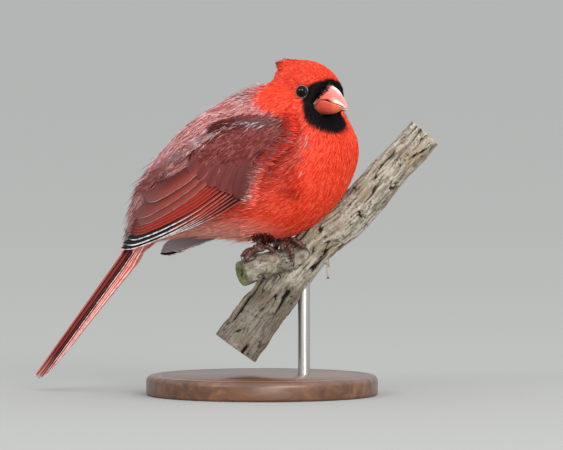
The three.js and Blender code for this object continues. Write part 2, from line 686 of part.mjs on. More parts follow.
// Tail: rectrices stacked like a roof, with the two middle ones on top
const tailCore = shaped(new THREE.SphereGeometry(1, 12, 8), (v) => {
  v.set(v.x * 16 - 4, v.y * 8.5, v.z * 4.2 - 1.8);
});
const tailVanes = [];
for (let pair = 0; pair < 6; pair++) {
  for (const side of [1, -1]) {
    const length = TAIL_LENGTH - TAIL_SHORTER[pair];
    const depth = -TAIL_STEP * (pair + (pair > 0 || side < 0 ? 1 : 0)) + 2.2;
    const inner = pair === 0 ? -2.5 : 0.25;
    const outer = TAIL_WIDTHS[pair];
    tailVanes.push(
      vane([0, 0.25, 0.6, 0.93, 1], BROAD, (s, across, face) => {
        const open = vaneWidth(s, 0.93, 1);
        const spread = s < 0.25 ? mix(0.7, 1, s / 0.25) : mix(1, TAIL_NARROWS, (s - 0.25) / 0.75);
        const reach = spread * ((inner + outer) / 2 + (across * (outer - inner) * open) / 2);
        const y = side * reach;
        const ridge = across === 0 && face > 0 ? 0.15 : 0;
        return vec(-length * s, y, depth - TAIL_ROOF * Math.abs(reach) + (face * TAIL_THICK) / 2 + ridge);
      }),
    );
  }
}
// Coverts above and below the root of the tail
const tailCoverts = [];
for (const [count, spread, length, z, rise] of [[3, 5, 26, 3.6, 1], [3, 5, 34, -7.5, -1]]) {
  for (let i = 0; i < count; i++) {
    const share = (2 * i) / (count - 1) - 1;
    const reach = length * (1 - 0.25 * Math.abs(share));
    tailCoverts.push(
      vane([0, 0.5, 0.85, 1], BROAD, (s, across, face) => {
        const y = spread * share * (1 - 0.2 * s) + across * 3 * vaneWidth(s, 0.6);
        const off = rise * (1.1 * (i % 2) - 0.12 * y * y * 0.5) * 0.9 - rise * 1.5 * s;
        return vec(4 - reach * s, y, z + off + (face * COVERT_THICK) / 2);
      }),
    );
  }
}
const tailMade = fused([tailCore, ...tailVanes, ...tailCoverts], [inFrame(torsoCutter, bird, tail)]);
addNode(tail, "tail", tailMade, RED);

// Feet: toes laid round a perch from a palm on its upper side, each with its claw
function footPieces(curve, radius, at, up, toes) {
  const axis = curve.getTangentAt(at);
  const middle = curve.getPointAt(at);
  const rise = vec(...up).addScaledVector(axis, -vec(...up).dot(axis)).normalize();
  const front = axis.clone().cross(rise);
  if (front.y > 0) front.negate();
  const around = (along, angle, r) =>
    middle
      .clone()
      .addScaledVector(axis, along)
      .addScaledVector(rise, r * Math.cos(rad(angle)))
      .addScaledVector(front, r * Math.sin(rad(angle)));
  const path = radius + TOE_RADIUS + GAP + 0.1;
  const palmLine = new THREE.LineCurve3(around(0, 0, path - 0.8), around(0, 0, path + PALM_HIGH));
  const pieces = [limb(palmLine, () => PALM_RADIUS, 10, 4)];
  const claws = [];
  for (const [fromAlong, toAlong, toAngle, size] of toes) {
    const bend = [0, 0.33, 0.66, 1].map((s) =>
      around(mix(fromAlong, toAlong, s), toAngle * s, path + TOE_ARCH * Math.sin(Math.PI * s)));
    const toe = new THREE.CatmullRomCurve3(bend);
    pieces.push(limb(toe, (t) => TOE_RADIUS * size * (1 + 0.12 * Math.cos(t * 6 * Math.PI)), 7, 8));
    const sign = Math.sign(toAngle);
    const sweep = (CLAW_REACH / path) * (180 / Math.PI);
    const nail = [0, 0.5, 1].map((s) =>
      around(
        toAlong + (toAlong - fromAlong) * 0.3 * s,
        toAngle + sign * (sweep * s - 7),
        path + 0.2 + 1.3 * Math.sin(Math.PI * s * 0.8) - 0.7 * s,
      ));
    claws.push(limb(new THREE.CatmullRomCurve3(nail), (t) => mix(CLAW_RADIUS, 0.25, t) * size, 7, 5));
  }
  return { pieces, claws, palm: around(0, 0, path + 1.5) };
}
const feet = {
  right: footPieces(stubCurve, 6.6, RIGHT_FOOT_AT, [0, 0, 1], RIGHT_TOES),
  left: footPieces(stubCurve, 6.8, LEFT_FOOT_AT, [0, 0.15, 1], LEFT_TOES),
};
const toeNames = ["inner", "middle", "outer", "hind"];
const footCutters = [];
for (const [side, sign] of [["right", -1], ["left", 1]]) {
  const { pieces, claws, palm } = feet[side];
  const hip = vec(LEG_X, sign * LEG_Y, 92).applyMatrix4(bird.matrixWorld);
  const shank = limb(new THREE.LineCurve3(hip, palm), () => LEG_RADIUS, 12, 6);
  const room = [...pieces, ...claws].map((g) => grown(g, GAP));
  const pocket = new THREE.SphereGeometry(1, 12, 8)
    .scale(...FOOT_POCKET)
    .translate(palm.x, palm.y, palm.z - 1.5);
  const clawRoom = claws.map((g) => grown(g, GAP));
  addNode(root, `leg_${side}`, fused([shank], [...room, ...perchCutters]), DARK_BROWN);
  addNode(root, `foot_${side}`, fused(pieces, [...perchCutters, ...clawRoom]), DARK_BROWN);
  claws.forEach((claw, i) => {
    addNode(root, `claw_${side}_${toeNames[i]}`, fused([claw], perchCutters), CLAW_GREY);
  });
  footCutters.push(pocket, grown(shank, GAP));
}

// The plane between neck and torso is a thin cut: each keeps what lies on its own side of it
function halfSpace(side) {
  const box = new THREE.BoxGeometry(240, 240, 160).translate(0, 0, side * (80 - GAP / 2));
  return box.rotateY(rad(NECK_PLANE_TILT)).translate(...NECK_PLANE_AT);
}
const inBird = [...perchCutters, ...footCutters].map((g) => inFrame(g, root, bird));
const faceParts = [grown(lowerBill, GAP), leftEye.socket, rightEye.socket];
const faceCutters = faceParts.map((g) => inFrame(g, head, bird));
addNode(bird, "neck", fused([torsoCore, neckCore], [headCutter, ...faceCutters, halfSpace(-1)]), RED);
addNode(bird, "torso", fused([torsoCore, neckCore], [headCutter, halfSpace(1), ...inBird]), RED);
addNode(bird, "wing_left", fused(leftWing, wingCutters), DULL_RED);
addNode(bird, "wing_right", fused(rightWing, wingCutters), DULL_RED);

export default root;
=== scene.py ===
# A male northern cardinal, fluffed against the cold, on a cut length of branch that a plain turned stand
# holds. Lengths in the tables are millimetres, at life size. The bird's own frame has +X forward, +Y to its
# left and +Z up.
import math
from functools import partial

import bpy
import numpy as np
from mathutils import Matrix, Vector


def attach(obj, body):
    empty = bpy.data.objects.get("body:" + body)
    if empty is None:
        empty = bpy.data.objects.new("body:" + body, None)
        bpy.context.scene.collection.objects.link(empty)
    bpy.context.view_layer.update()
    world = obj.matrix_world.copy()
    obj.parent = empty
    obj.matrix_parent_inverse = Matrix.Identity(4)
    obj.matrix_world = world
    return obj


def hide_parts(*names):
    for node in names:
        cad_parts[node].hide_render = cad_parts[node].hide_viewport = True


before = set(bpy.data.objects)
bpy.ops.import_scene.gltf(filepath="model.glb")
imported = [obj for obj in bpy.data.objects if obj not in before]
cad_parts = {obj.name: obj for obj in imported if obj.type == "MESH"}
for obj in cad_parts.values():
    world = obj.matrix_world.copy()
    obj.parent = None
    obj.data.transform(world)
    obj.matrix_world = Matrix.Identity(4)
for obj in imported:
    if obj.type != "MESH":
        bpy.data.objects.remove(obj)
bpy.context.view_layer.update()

MM = 0.001
SIDES = {"right": -1, "left": 1}

# Pose, in degrees, and how far forward the left wing sits
BODY_YAW, HEAD_YAW = -20, -30
TAIL_DROP, TAIL_ROLL = 53, 12
LEFT_WING_DROOP, LEFT_WING_SHIFT = 2.6, 6

# Body: back and belly lines in the middle plane as [x, z], from tail to neck, and the half width at each
TORSO = dict(
    back=[[-71, 78], [-71, 84], [-66, 100], [-57, 114.5], [-45, 129], [-30, 141], [-14, 149.5], [0, 155],
          [13, 157], [26, 154], [37, 144]],
    belly=[[-71, 78], [-64, 74], [-53, 77], [-41, 79], [-26, 79], [-8, 78], [12, 78.5], [30, 87.5],
           [43.5, 103], [49, 122], [41, 141]],
    half=[0, 7, 14, 20.5, 26, 29.5, 31, 30.8, 28, 21, 0],
)
HEAD_AT = np.array([22.3, 0, 150])
HEAD = dict(
    back=[[-16, 2], [-15, 10.5], [-9.5, 16.2], [-1, 18], [7, 17.2], [12.8, 15.3], [17.6, 11.9], [20.2, 7.4],
          [17.6, -1]],
    belly=[[-16, 2], [-15, -9], [-11, -16], [-4, -20], [5, -20.5], [11, -19.5], [14.4, -17], [15.5, -12],
           [17.6, -1]],
    half=[0, 9.6, 12.4, 13.3, 13.4, 13.2, 12.5, 10.2, 0],
)
NECK_FROM, NECK_FROM_RADII = [12, 0, 132], [29, 26]
NECK_TO, NECK_TO_RADII = [18.5, 0, 159.2], [13.1, 10.5]
CREST_CORE, CREST_CORE_RADII = [[2, 0, 13], [-8, 0, 15.4], [-15.5, 0, 16]], [7, 5.4, 1.6]
CREST_TIP = np.array([-20.8, 0, 16.6])

# Face, in the head's frame: +X towards the bill
EYE_AT, EYE_OUT, EYE_RADIUS, LID_RADIUS = [11.6, 9, 2.2], [0.3, 0.93, 0.08], 4.1, 3.15
CULMEN = [[11, 6], [17, 6.6], [20, 6], [25.5, 3.8], [29.5, 0.6], [32.2, -2.8], [33.2, -5.4]]
CUTTING_EDGE = [[11, -4], [15.3, -4.3], [18.4, -1.9], [21.5, -1.8], [26.7, -3.3], [30.5, -4.5], [32.9, -5.9]]
GONYS = [[11, -9], [15, -9.2], [18, -9], [22, -8.6], [25.5, -7.8], [28.4, -6.4], [30.8, -5.4]]
BILL_HALF = [6.1, 6, 5.5, 4.5, 3, 1.5, 0.5]
NOSTRIL_AT, MOUTH_OPENS_AT = [18.6, 2.6, 3.6], 22.6

# Wing: the bed it lies on, then each feather's root and tip as [x, z], with the widths below and above its
# shaft
BED = dict(
    back=[[-92, 74], [-79, 90], [-68, 104], [-58.5, 117], [-46, 131.5], [-30.5, 143.5], [-14, 152],
          [0, 157.5], [13, 159.5], [27, 157]],
    belly=[[-74, 50], [-64, 57], [-53, 64], [-41, 68], [-26, 70], [-8, 70], [11, 74], [28, 84], [41, 100],
           [50, 122]],
    half=[9.5, 14, 18.5, 23, 27.5, 31, 32.6, 32.6, 30.5, 26],
)
BED_SQUARE = 2.3
SHOULDER = [20, 135]
SAG = 0.034
PRIMARIES = [
    [[3.4, 101], [-44, 81.2], 1.4, 0.9], [[2.1, 102.3], [-54.5, 77.9], 1.6, 1],
    [[0.8, 103.6], [-63.5, 75.2], 1.9, 1.1], [[-0.5, 105], [-69.3, 73.4], 2.4, 1.1],
    [[-1.8, 106.3], [-67.8, 76], 3, 1.2], [[-3, 107.8], [-65.4, 78.8], 3, 1.2],
]
SECONDARIES = [
    [[-4, 109.5], [-63.6, 81.4], 3, 1], [[-5, 110.8], [-62.9, 83], 3, 1], [[-6, 112.1], [-62.2, 84.6], 3, 1],
    [[-7, 113.4], [-61.5, 86], 3, 1], [[-8, 114.7], [-60.9, 87.4], 3, 1],
]
TERTIALS = [
    [[-10, 114.5], [-58.6, 86.6], 3.4, 2.6], [[-13, 116.5], [-60.6, 89.4], 3.4, 2.8],
    [[-16, 119.5], [-53.6, 98.2], 4, 3.6],
]
GREATER_COVERTS = [
    [[-17.9, 122.6], [-27.1, 112]], [[-12.8, 122.2], [-21.4, 108.6]], [[-7.7, 121.3], [-15.9, 105.2]],
    [[-2.8, 120.4], [-10.5, 103.3]], [[1.6, 120], [-6, 101.9]],
]
FRONT_COVERT = [[5.3, 118.6], [-0.8, 99.7]]
MEDIAN_COVERTS = [
    [[-14.5, 128.5], [-24.1, 121.2]], [[-8.6, 128.3], [-18.8, 119.1]], [[-3.2, 127.6], [-13.1, 117.3]],
    [[2.2, 126.8], [-7.6, 116.4]], [[7.4, 125.8], [-1.1, 116]],
]
GREATER_HALF, FRONT_HALF, MEDIAN_HALF, COVERT_SUNK = 3.6, 4.1, 3.5, 1.5
UNDER_WEB = [[0, 99.5], [-68.5, 73.8], 1.6, 8]  # the outer primary's broad inner web, against the body
ARM_HIGH, ARM_EDGE, ARM_MIDDLE = [1, 2.4], 1.8, [0, 119]
ARM_OUTLINE = [
    [26, 135], [22.6, 129.6], [17, 126], [9.6, 121.5], [5.4, 112], [4, 99.4], [-7, 97.5], [-16, 103],
    [-25, 112], [-27, 121], [-17.6, 128.3], [-8.6, 134.5], [0, 137.7], [8.5, 139.3], [19.6, 139],
]

# Tail, in its own frame: feathers run along -X, the upper side is +Z
TAIL_ROOT, TAIL_LENGTH = [-61.5, 0, 84], 98
TAIL_SHORTER = [0, 0.5, 2, 5, 10, 18]
TAIL_WIDTHS = [5.8, 6.4, 7, 7.6, 8.2, 8.8]
TAIL_NARROWS, TAIL_ROOF = 0.6, 0.36

# Legs and feet; for each toe, its start and end along the stub, its reach round it in degrees and its size
LEG_X, LEG_Y, LEG_RADIUS, TOE_RADIUS, CLAW_RADIUS, CLAW_REACH = 4, 9.5, 1.5, 1.25, 0.85, 5.2
TOE_ARCH, PALM_RADIUS, PALM_HIGH = 1.9, 3, 3.4
FEET = dict(
    right=(6.6, 0.68, [0, 0, 1],
           [[-1.2, -5, 42, 1], [1.4, 10.4, 8, 1], [0.8, 11.8, 40, 1.1], [0, 0.5, -84, 1.1]]),
    left=(6.8, 0.36, [0, 0.15, 1],
          [[-1, -7.6, 66, 1.1], [0, 0.6, 92, 1.1], [1.2, 4.2, 56, 1], [0, 0, -80, 1.1]]),
)

# Perch and stand, in the root frame
BRANCH_LINE = [[-13, 3, 22.5], [4.5, 4, 47], [24, 5.5, 72.5], [45, 7, 90.5], [61, 8, 108], [82, 9, 131]]
BRANCH_RADII, BRANCH_MEAN = [12.4, 11.2, 10.5, 10.2, 9.4, 9], 10.3
STUB_LINE = [[24, 4, 70], [12, -3.5, 67.7], [0, -9.5, 64.6], [-10.5, -15, 61.3]]
STUB_RADII, STUB_MEAN = [8, 6.6, 6.4, 6.5], 6.6
TWIG_LINE = [[31, 5, 74], [33, 4, 66], [33, 3.5, 57.5]]
BASE_RADIUS, BASE_THICK, BASE_ROUND, BASE_HEEL = 58, 10, 3, 1.5
GAP = 0.3


# Frames

def turn(degrees, i, j):
    """A turn in the plane of axes i and j."""
    a, out = math.radians(degrees), np.eye(3)
    out[i, i] = out[j, j] = math.cos(a)
    out[i, j], out[j, i] = -math.sin(a), math.sin(a)
    return out


BIRD_TURN, HEAD_TURN = turn(BODY_YAW, 0, 1), turn(HEAD_YAW, 0, 1)
TAIL_TURN = turn(-TAIL_DROP, 2, 0) @ turn(TAIL_ROLL, 1, 2)


def bird_to_root(p):
    return np.asarray(p) @ BIRD_TURN.T


def head_to_bird(p):
    return np.asarray(p) @ HEAD_TURN.T + HEAD_AT


def bird_to_head(p):
    return (np.asarray(p) - HEAD_AT) @ HEAD_TURN


def head_to_root(p):
    return bird_to_root(head_to_bird(p))


def tail_to_bird(p):
    return np.asarray(p) @ TAIL_TURN.T + TAIL_ROOT


# Curves and shapes

def curve(points, t):
    """A smooth line through points, or through numbers, read at t from 0 to 1."""
    p = np.asarray(points, float)
    flat = p.ndim == 1
    p = p[:, None] if flat else p
    q = np.vstack([2 * p[0] - p[1], p, 2 * p[-1] - p[-2]])
    x = np.clip(np.asarray(t, float), 0, 1) * (len(p) - 1)
    i = np.minimum(x.astype(int), len(p) - 2)
    f = (x - i)[..., None]
    a, b, c, d = q[i], q[i + 1], q[i + 2], q[i + 3]
    out = 0.5 * (2 * b + (c - a) * f + (2 * a - 5 * b + 4 * c - d) * f**2 + (3 * b - a - 3 * c + d) * f**3)
    return out[..., 0] if flat else out


def even(points, t):
    """The same line read by its length, with its directions."""
    fine = curve(points, np.linspace(0, 1, 400))
    step = np.r_[0, np.cumsum(np.linalg.norm(np.diff(fine, axis=0), axis=1))]
    s, e = np.asarray(t, float) * step[-1], step[-1] * 0.004
    at, ahead, back = (np.stack([np.interp(s + off, step, fine[:, k]) for k in range(3)], -1)
                       for off in (0, e, -e))
    return at, unit(ahead - back)


def unit(v):
    return v / np.maximum(np.linalg.norm(v, axis=-1, keepdims=True), 1e-9)


def smooth(x, lo, hi):
    x = np.clip((np.asarray(x, float) - lo) / (hi - lo), 0, 1)
    return x * x * (3 - 2 * x)


def bell(x, middle, wide):
    return np.exp(-(((x - middle) / wide) ** 2))


def mix(a, b, t):
    return a + (b - a) * t


def circle(count):
    return np.linspace(0, 2 * math.pi, count, endpoint=False)


def noise(p, scale, seed=0):
    """Smooth noise from -1 to 1 over points, its grain about scale wide."""
    q = np.asarray(p, float) / scale
    i = np.floor(q).astype(np.int64)
    f = q - i
    f = f * f * f * (f * (f * 6 - 15) + 10)
    total = 0
    for corner in range(8):
        o = np.array([corner & 1, corner >> 1 & 1, corner >> 2 & 1])
        n = i + o
        h = n[..., 0] * 73856093 ^ n[..., 1] * 19349663 ^ n[..., 2] * 83492791 ^ seed * 2654435761
        h = h & 0xFFFFFFFF
        h = ((h ^ h >> 15) * 2246822519) & 0xFFFFFFFF
        h = ((h ^ h >> 13) * 3266489917) & 0xFFFFFFFF
        value = (h ^ h >> 16) / 0xFFFFFFFF * 2 - 1
        total = total + value * np.prod(np.where(o, f, 1 - f), axis=-1)
    return total


def grid(rows, columns, rows_close=False, columns_close=True):
    """The triangles between neighbouring points of rows and columns, which may close on themselves."""
    i, j = np.meshgrid(np.arange(rows - (not rows_close)), np.arange(columns - (not columns_close)),
                       indexing="ij")
    k, after = (j + 1) % columns, (i + 1) % rows * columns
    a, b, c, d = i * columns + j, i * columns + k, after + k, after + j
    return np.vstack([np.stack(t, -1).reshape(-1, 3) for t in ((a, b, c), (a, c, d))])


def loft(rings):
    """A closed shell over rings of points, each end drawn to its middle: its points and triangles."""
    n, m = rings.shape[:2]
    points = np.vstack([rings.reshape(-1, 3), rings[0].mean(0), rings[-1].mean(0)])
    j = np.arange(m)
    k, last = (j + 1) % m, (n - 1) * m
    ends = [np.stack([k, j, j * 0 + n * m], -1), np.stack([last + j, last + k, j * 0 + n * m + 1], -1)]
    return outward(points, np.vstack([grid(n, m), *ends]))


def outward(points, faces):
    a, b, c = points[faces[:, 0]], points[faces[:, 1]], points[faces[:, 2]]
    return points, faces if np.einsum("ij,ij->", a, np.cross(b, c)) > 0 else faces[:, ::-1]


def ribbed(ribs, around, along):
    """A closed body over oval ribs between its back and belly lines."""
    t = np.linspace(0.004, 0.996, along)
    top, low, half = (curve(ribs[line], t) for line in ("back", "belly", "half"))
    a = circle(around)
    xz = mix(top[:, None], low[:, None], ((1 - np.cos(a)) / 2)[None, :, None])
    return loft(np.stack([xz[..., 0], half[:, None] * np.sin(a)[None], xz[..., 1]], -1))


def carried(directions, start):
    """Frames carried along a line without twist."""
    n = [unit(start - np.dot(start, directions[0]) * directions[0])]
    for d in directions[1:]:
        n.append(unit(n[-1] - np.dot(n[-1], d) * d))
    return np.array(n), np.cross(directions, n)


def limb(line, radius, around, along, up=(0, 0, 1), flat=1.0, sawn=False):
    """A closed limb along a line. radius reads t and the angle, 0 on the upper side."""
    t = np.linspace(0, 1, along)[:, None]
    at, ahead = even(line, t[:, 0])
    n, b = carried(ahead, np.array(up, float))
    a = circle(around)
    r = radius(t, a[None])
    if not sawn:
        r = r * np.sqrt(np.clip(1 - (2 * t - 1) ** 10, 0.0004, 1))
    up, side = (r * np.cos(a))[..., None], (r * np.sin(a) * flat)[..., None]
    return loft(at[:, None] + n[:, None] * up + b[:, None] * side)


def joined(shapes):
    starts = np.cumsum([0] + [len(p) for p, _ in shapes])
    return np.vstack([p for p, _ in shapes]), np.vstack([f + at for (_, f), at in zip(shapes, starts)])


def make_mesh(name, points, faces, **layers):
    """A mesh from points in millimetres and triangles, with what put stores on it."""
    me = bpy.data.meshes.new(name)
    me.vertices.add(len(points))
    me.loops.add(len(faces) * 3)
    me.loops.foreach_set("vertex_index", np.asarray(faces, np.int32).ravel())
    me.polygons.add(len(faces))
    me.polygons.foreach_set("loop_start", np.arange(0, 3 * len(faces), 3, dtype=np.int32))
    me.vertices.foreach_set("co", (np.asarray(points) * MM).astype(np.float32).ravel())
    me.update(calc_edges=True)
    me.validate()
    me.shade_smooth()
    put(me, **layers)
    return me


def put(me, **layers):
    """Stores numbers, vectors or colours by name, one for each point of a mesh."""
    kinds = {1: ("FLOAT", "value"), 3: ("FLOAT_VECTOR", "vector"), 4: ("FLOAT_COLOR", "color")}
    for name, values in layers.items():
        values = np.asarray(values)
        kind, field = kinds[1 if values.ndim == 1 else values.shape[1]]
        if values.dtype.kind == "i":
            kind = "INT"
        layer = me.attributes.new(name, kind, "POINT")
        layer.data.foreach_set(field, values.astype(np.int32 if kind == "INT" else np.float32).ravel())


def four(*columns):
    """Up to four columns of numbers as one colour for each point."""
    columns = np.broadcast_arrays(*columns)
    zero, one = np.zeros(columns[0].shape), np.ones(columns[0].shape)
    spare = [zero] * (3 - len(columns)) + [one] * (len(columns) < 4)
    return np.stack([*columns, *spare], -1).astype(float)


def read(rows, field, width, kind=np.float32):
    """One field of a mesh's points, corners or layer, as rows of numbers."""
    out = np.zeros(len(rows) * width, kind)
    rows.foreach_get(field, out)
    return out.reshape(-1, width)


def points_of(me):
    return read(me.vertices, "co", 3).astype(float) / MM


def normals_of(me):
    return read(me.vertex_normals, "vector", 3).astype(float)


def move(me, p):
    """Moves a mesh's points to p, in millimetres."""
    me.vertices.foreach_set("co", (p * MM).astype(np.float32).ravel())
    me.update()
    return me


def map_points(me, spots):
    """Lays each point of a mesh at its spot on the bake's map."""
    corners = read(me.loops, "vertex_index", 1, np.int32)[:, 0]
    me.uv_layers.new(name="OFBake").data.foreach_set("uv", spots[corners].astype(np.float32).ravel())


def in_scene(name, data):
    thing = bpy.data.objects.new(name, data)
    bpy.context.scene.collection.objects.link(thing)
    return thing


def place(name, me, finish=None, stands_for=()):
    """Adds a mesh to the scene as a piece of the bird or its stand."""
    piece = in_scene(name, me)
    if finish is not None:
        me.materials.clear()
        me.materials.append(finish)
    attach(piece, "root")
    if stands_for:
        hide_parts(*stands_for)
    return piece


def grown(host):
    """What a host's modifiers make of it, as a plain mesh. The host goes."""
    graph = bpy.context.evaluated_depsgraph_get()
    made = host.evaluated_get(graph)
    me = bpy.data.meshes.new_from_object(made, preserve_all_data_layers=True, depsgraph=graph)
    bpy.data.objects.remove(host)
    me.shade_smooth()
    return me


def skinned(name, shapes, voxel, rounds):
    """One closed skin over overlapping shells, with its seams smoothed away."""
    shell = in_scene(name, make_mesh(name, *joined(shapes)))
    remesh = shell.modifiers.new("skin", "REMESH")
    remesh.mode = "VOXEL"
    remesh.voxel_size = voxel * MM
    relax = shell.modifiers.new("relax", "SMOOTH")
    relax.factor, relax.iterations = 0.5, rounds
    return grown(shell)


# Nodes

def linear(code):
    """An sRGB hex colour as linear light."""
    c = [int(code[i : i + 2], 16) / 255 for i in (1, 3, 5)]
    return [v / 12.92 if v <= 0.04045 else ((v + 0.055) / 1.055) ** 2.4 for v in c] + [1]


def add(tree, kind, feed=None, stops=(), **settings):
    """Adds a node with its settings. feed gives each socket its value, an sRGB hex colour, the node whose
    first output it reads, or a node and an output's name. stops gives a ramp its places and colours."""
    node = tree.nodes.new(kind if "Node" in kind else "ShaderNode" + kind)
    for name, value in settings.items():
        setattr(node, name, value)
    for i, (at, code) in enumerate(stops):
        stop = node.color_ramp.elements[i] if i < 2 else node.color_ramp.elements.new(at)
        stop.position, stop.color = at, linear(code)
    for key, value in (feed or {}).items():
        socket = node.inputs[key] if isinstance(key, int) else next(
            s for s in node.inputs if s.enabled and key in (s.identifier, s.name))
        if isinstance(value, tuple) and isinstance(value[0], bpy.types.Node):
            tree.links.new(value[0].outputs[value[1]], socket)
        elif isinstance(value, bpy.types.Node):
            tree.links.new(next(s for s in value.outputs if s.enabled), socket)
        else:
            socket.default_value = linear(value) if isinstance(value, str) and value[:1] == "#" else value
    return node


def material(name, look, *given):
    """A material whose surface reads what look returns, after adding its own nodes."""
    m = bpy.data.materials.new(name)
    m.use_nodes = True
    m.node_tree.nodes.clear()
    node = partial(add, m.node_tree)
    node("OutputMaterial", {"Surface": node("BsdfPrincipled", look(node, *given))})
    return m


# Plumage: where each colour lies, which way the feathers lie and how long they are, over the bird's frame

def side_line(p, a, b):
    """How far points lie above the side view's line from a to b."""
    (ax, az), (bx, bz) = a, b
    return ((p[:, 2] - az) * (bx - ax) - (p[:, 0] - ax) * (bz - az)) / math.hypot(bx - ax, bz - az)


# The black mask, in the head's frame: its rear edge beside the bill as x at each z, and the bib's half width
MASK_Z, MASK_X = [-4, -0.7, 1.2, 3.2, 5.4, 8.6], [15.3, 12.9, 12.4, 14.2, 16, 17]
BIB_Z, BIB_WIDE = [-20, -17, -15, -13, -10, -6.9, -3.6, 0], [9, 11.5, 14.6, 16, 16.2, 15.5, 13.8, 12]
# Where the face's feathers end on the bill: x at each z
FACE_Z, FACE_X = [-9.2, -4.2, -1.9, 0.2, 1.4, 2.8, 6], [15.2, 14.6, 16, 17.4, 19.7, 21.8, 21.4]
# The mantle's front edge, in the bird's frame: x at each z
MANTLE_Z = [120, 136.7, 138.5, 140.7, 143.2, 146.5, 150, 156]
MANTLE_X = [26, 22.2, 18.2, 13.8, 8.6, 3.2, 1, 0]


def markings(p):
    """The shares of black mask, dull mantle, pale belly and silver strokes at each point. On the flank below
    the wing, part of the dull and of the mask shares is painted shade.
    """
    x, y, z = p.T
    h = bird_to_head(p)
    wide = np.abs(h[:, 1])
    rag = noise(p, 1.6, 5) + 0.5 * noise(p, 0.8, 6)
    top, low = 8.7 - 0.03 * wide**2, -18.6 + 0.0165 * wide**2
    bib = np.minimum(np.interp(h[:, 2], BIB_Z, BIB_WIDE) - wide, h[:, 0] - 4)
    rear = mix(bib, h[:, 0] - np.interp(h[:, 2], MASK_Z, MASK_X), smooth(h[:, 2], -5, -2.5))
    mask = smooth(np.minimum.reduce([rear, top - h[:, 2], h[:, 2] - low]) + rag * 0.25, -0.3, 0.3)
    behind = np.interp(z, MANTLE_Z, MANTLE_X) - x
    over = side_line(p, [-60, 80], [23, 134])
    mantle = smooth(behind + 1.5 * rag, -3, 4.5) * smooth(over + rag, -2, 4) * smooth(h[:, 2], 8, 4)
    # The belly's lower edge has paler feathers. Its pale colours are lightened further as painted light, for
    # light shining through the thin edge feathers
    pale = smooth(93 - z - rag * 2, 0, 11) * smooth(x, 22, -22) * (1 - mantle)
    side = smooth(np.abs(y), 10, 20)
    flank = bell(over, -8, 7) * smooth(x, 38, 12) * side
    fringe = bell(x, 29, 6) * bell(z, 129, 7) * side
    silver = np.maximum.reduce([mantle, 0.6 * flank * smooth(noise(p, 6, 9), -0.4, 0.5), 0.7 * fringe])
    # The flank below the wing takes a little of the dull colour, as painted shade of the wing
    dull = np.clip(mantle + 0.2 * bell(over, -10, 13) * smooth(x, 40, 20) * side, 0, 1)
    # and a little of the mask's black, also painted shade of the wing
    painted_flank_shade = 0.3 * bell(over, -9, 8) * smooth(x, 38, 18) * smooth(x, -12, 4) * side
    mask = np.maximum(mask, painted_flank_shade * (1 - mantle))
    return mask, dull, pale * (1 - dull), silver * (1 - mask)


FEATHER_LIE = [  # place and direction in the bird's frame, left side
    [[8, 0, 158], [-0.9, 0, -0.3]], [[-8, 8, 152], [-0.93, 0, -0.35]], [[-30, 10, 140], [-0.8, 0, -0.6]],
    [[-20, 24, 132], [-0.85, 0, -0.5]], [[-50, 10, 118], [-0.66, 0, -0.75]], [[-66, 5, 98], [-0.45, 0, -0.9]],
    [[38, 4, 140], [0.3, 0, -1]], [[49, 3, 122], [0, 0, -1]], [[46, 12, 108], [-0.25, 0.1, -1]],
    [[36, 20, 128], [-0.35, 0.25, -0.9]], [[26, 27, 124], [-0.75, 0.3, -0.45]],
    [[15, 31, 114], [-0.97, 0.1, 0.1]], [[3, 31, 102], [-0.97, 0, 0.05]],
    [[30, 24, 105], [-0.75, 0.1, -0.65]],
    [[38, 12, 94], [-0.6, 0, -0.8]], [[20, 18, 84], [-0.92, 0, -0.3]], [[0, 10, 78], [-1, 0, 0]],
    [[-10, 28, 92], [-0.98, 0, -0.15]], [[-40, 15, 82], [-1, 0, -0.05]], [[-60, 5, 75], [-0.85, 0, -0.4]],
    [[-45, 22, 100], [-0.8, 0, -0.55]],
]


def feather_lie(p, normal):
    """The direction that the feathers take along the skin."""
    q = p * [1, 0, 1] + np.abs(p) * [0, 1, 0]
    total = np.zeros_like(q)
    for at, way in FEATHER_LIE:
        total += np.array(way) / (((q - at) ** 2).sum(1) + 20)[:, None] ** 1.6
    total = unit(total)
    total[:, 1] *= np.where(p[:, 1] < 0, -1.0, 1.0)
    h = bird_to_head(p)
    away = unit(h - np.array([17, 0, -1]))
    away[:, 0] -= 0.35
    up = (smooth(h[:, 2], 3, 12) * smooth(h[:, 0], 13, 3))[:, None]
    away = unit(away * (1 - 0.8 * up) + unit(CREST_TIP - h) * up) @ HEAD_TURN.T
    on_head = smooth(np.linalg.norm((h - [1, 0, 0]) / [21, 17, 23], axis=1), 1.12, 0.86)[:, None]
    way = mix(total, away, on_head)
    return unit(way - (way * normal).sum(1, keepdims=True) * normal)


def crest_share(p):
    """How near points are to the peak of the crest, from 0 to 1."""
    h = bird_to_head(p)
    return smooth(np.linalg.norm((h - CREST_TIP) / [1, 1.2, 1], axis=1), 17, 5) * smooth(h[:, 2], 9, 13)


def feather_size(p):
    """Length, half width and height of the tufts at each point."""
    from_bill = np.linalg.norm((bird_to_head(p) - [18, 0, -1]) / [1, 1, 1.1], axis=1)
    head = np.interp(from_bill, [6, 10, 18, 30, 42], [1.7, 2.8, 5, 7, 9])
    body = 8 + 1.5 * smooth(100 - p[:, 2], 0, 20) + 3 * smooth(-p[:, 0], 40, 66)
    length = np.minimum(head, body) + 2.2 * crest_share(p)
    return np.stack([length, 0.1 * length + 0.1, 0.065 * length + 0.2], -1)


def unwrap(p):
    """The skin rolled out: the angle round the body and the place along it, from 0 to 1."""
    along = (p[:, 0] + 95) / 160
    middle = np.interp(p[:, 0], [-70, -20, 20, 50], [82, 112, 125, 130])
    angle = np.arctan2(p[:, 1], p[:, 2] - middle) / (2 * math.pi)
    return np.stack([0.5 + angle * 0.94, 0.02 + 0.94 * along, along * 0], -1)


# Skin of head, neck and body

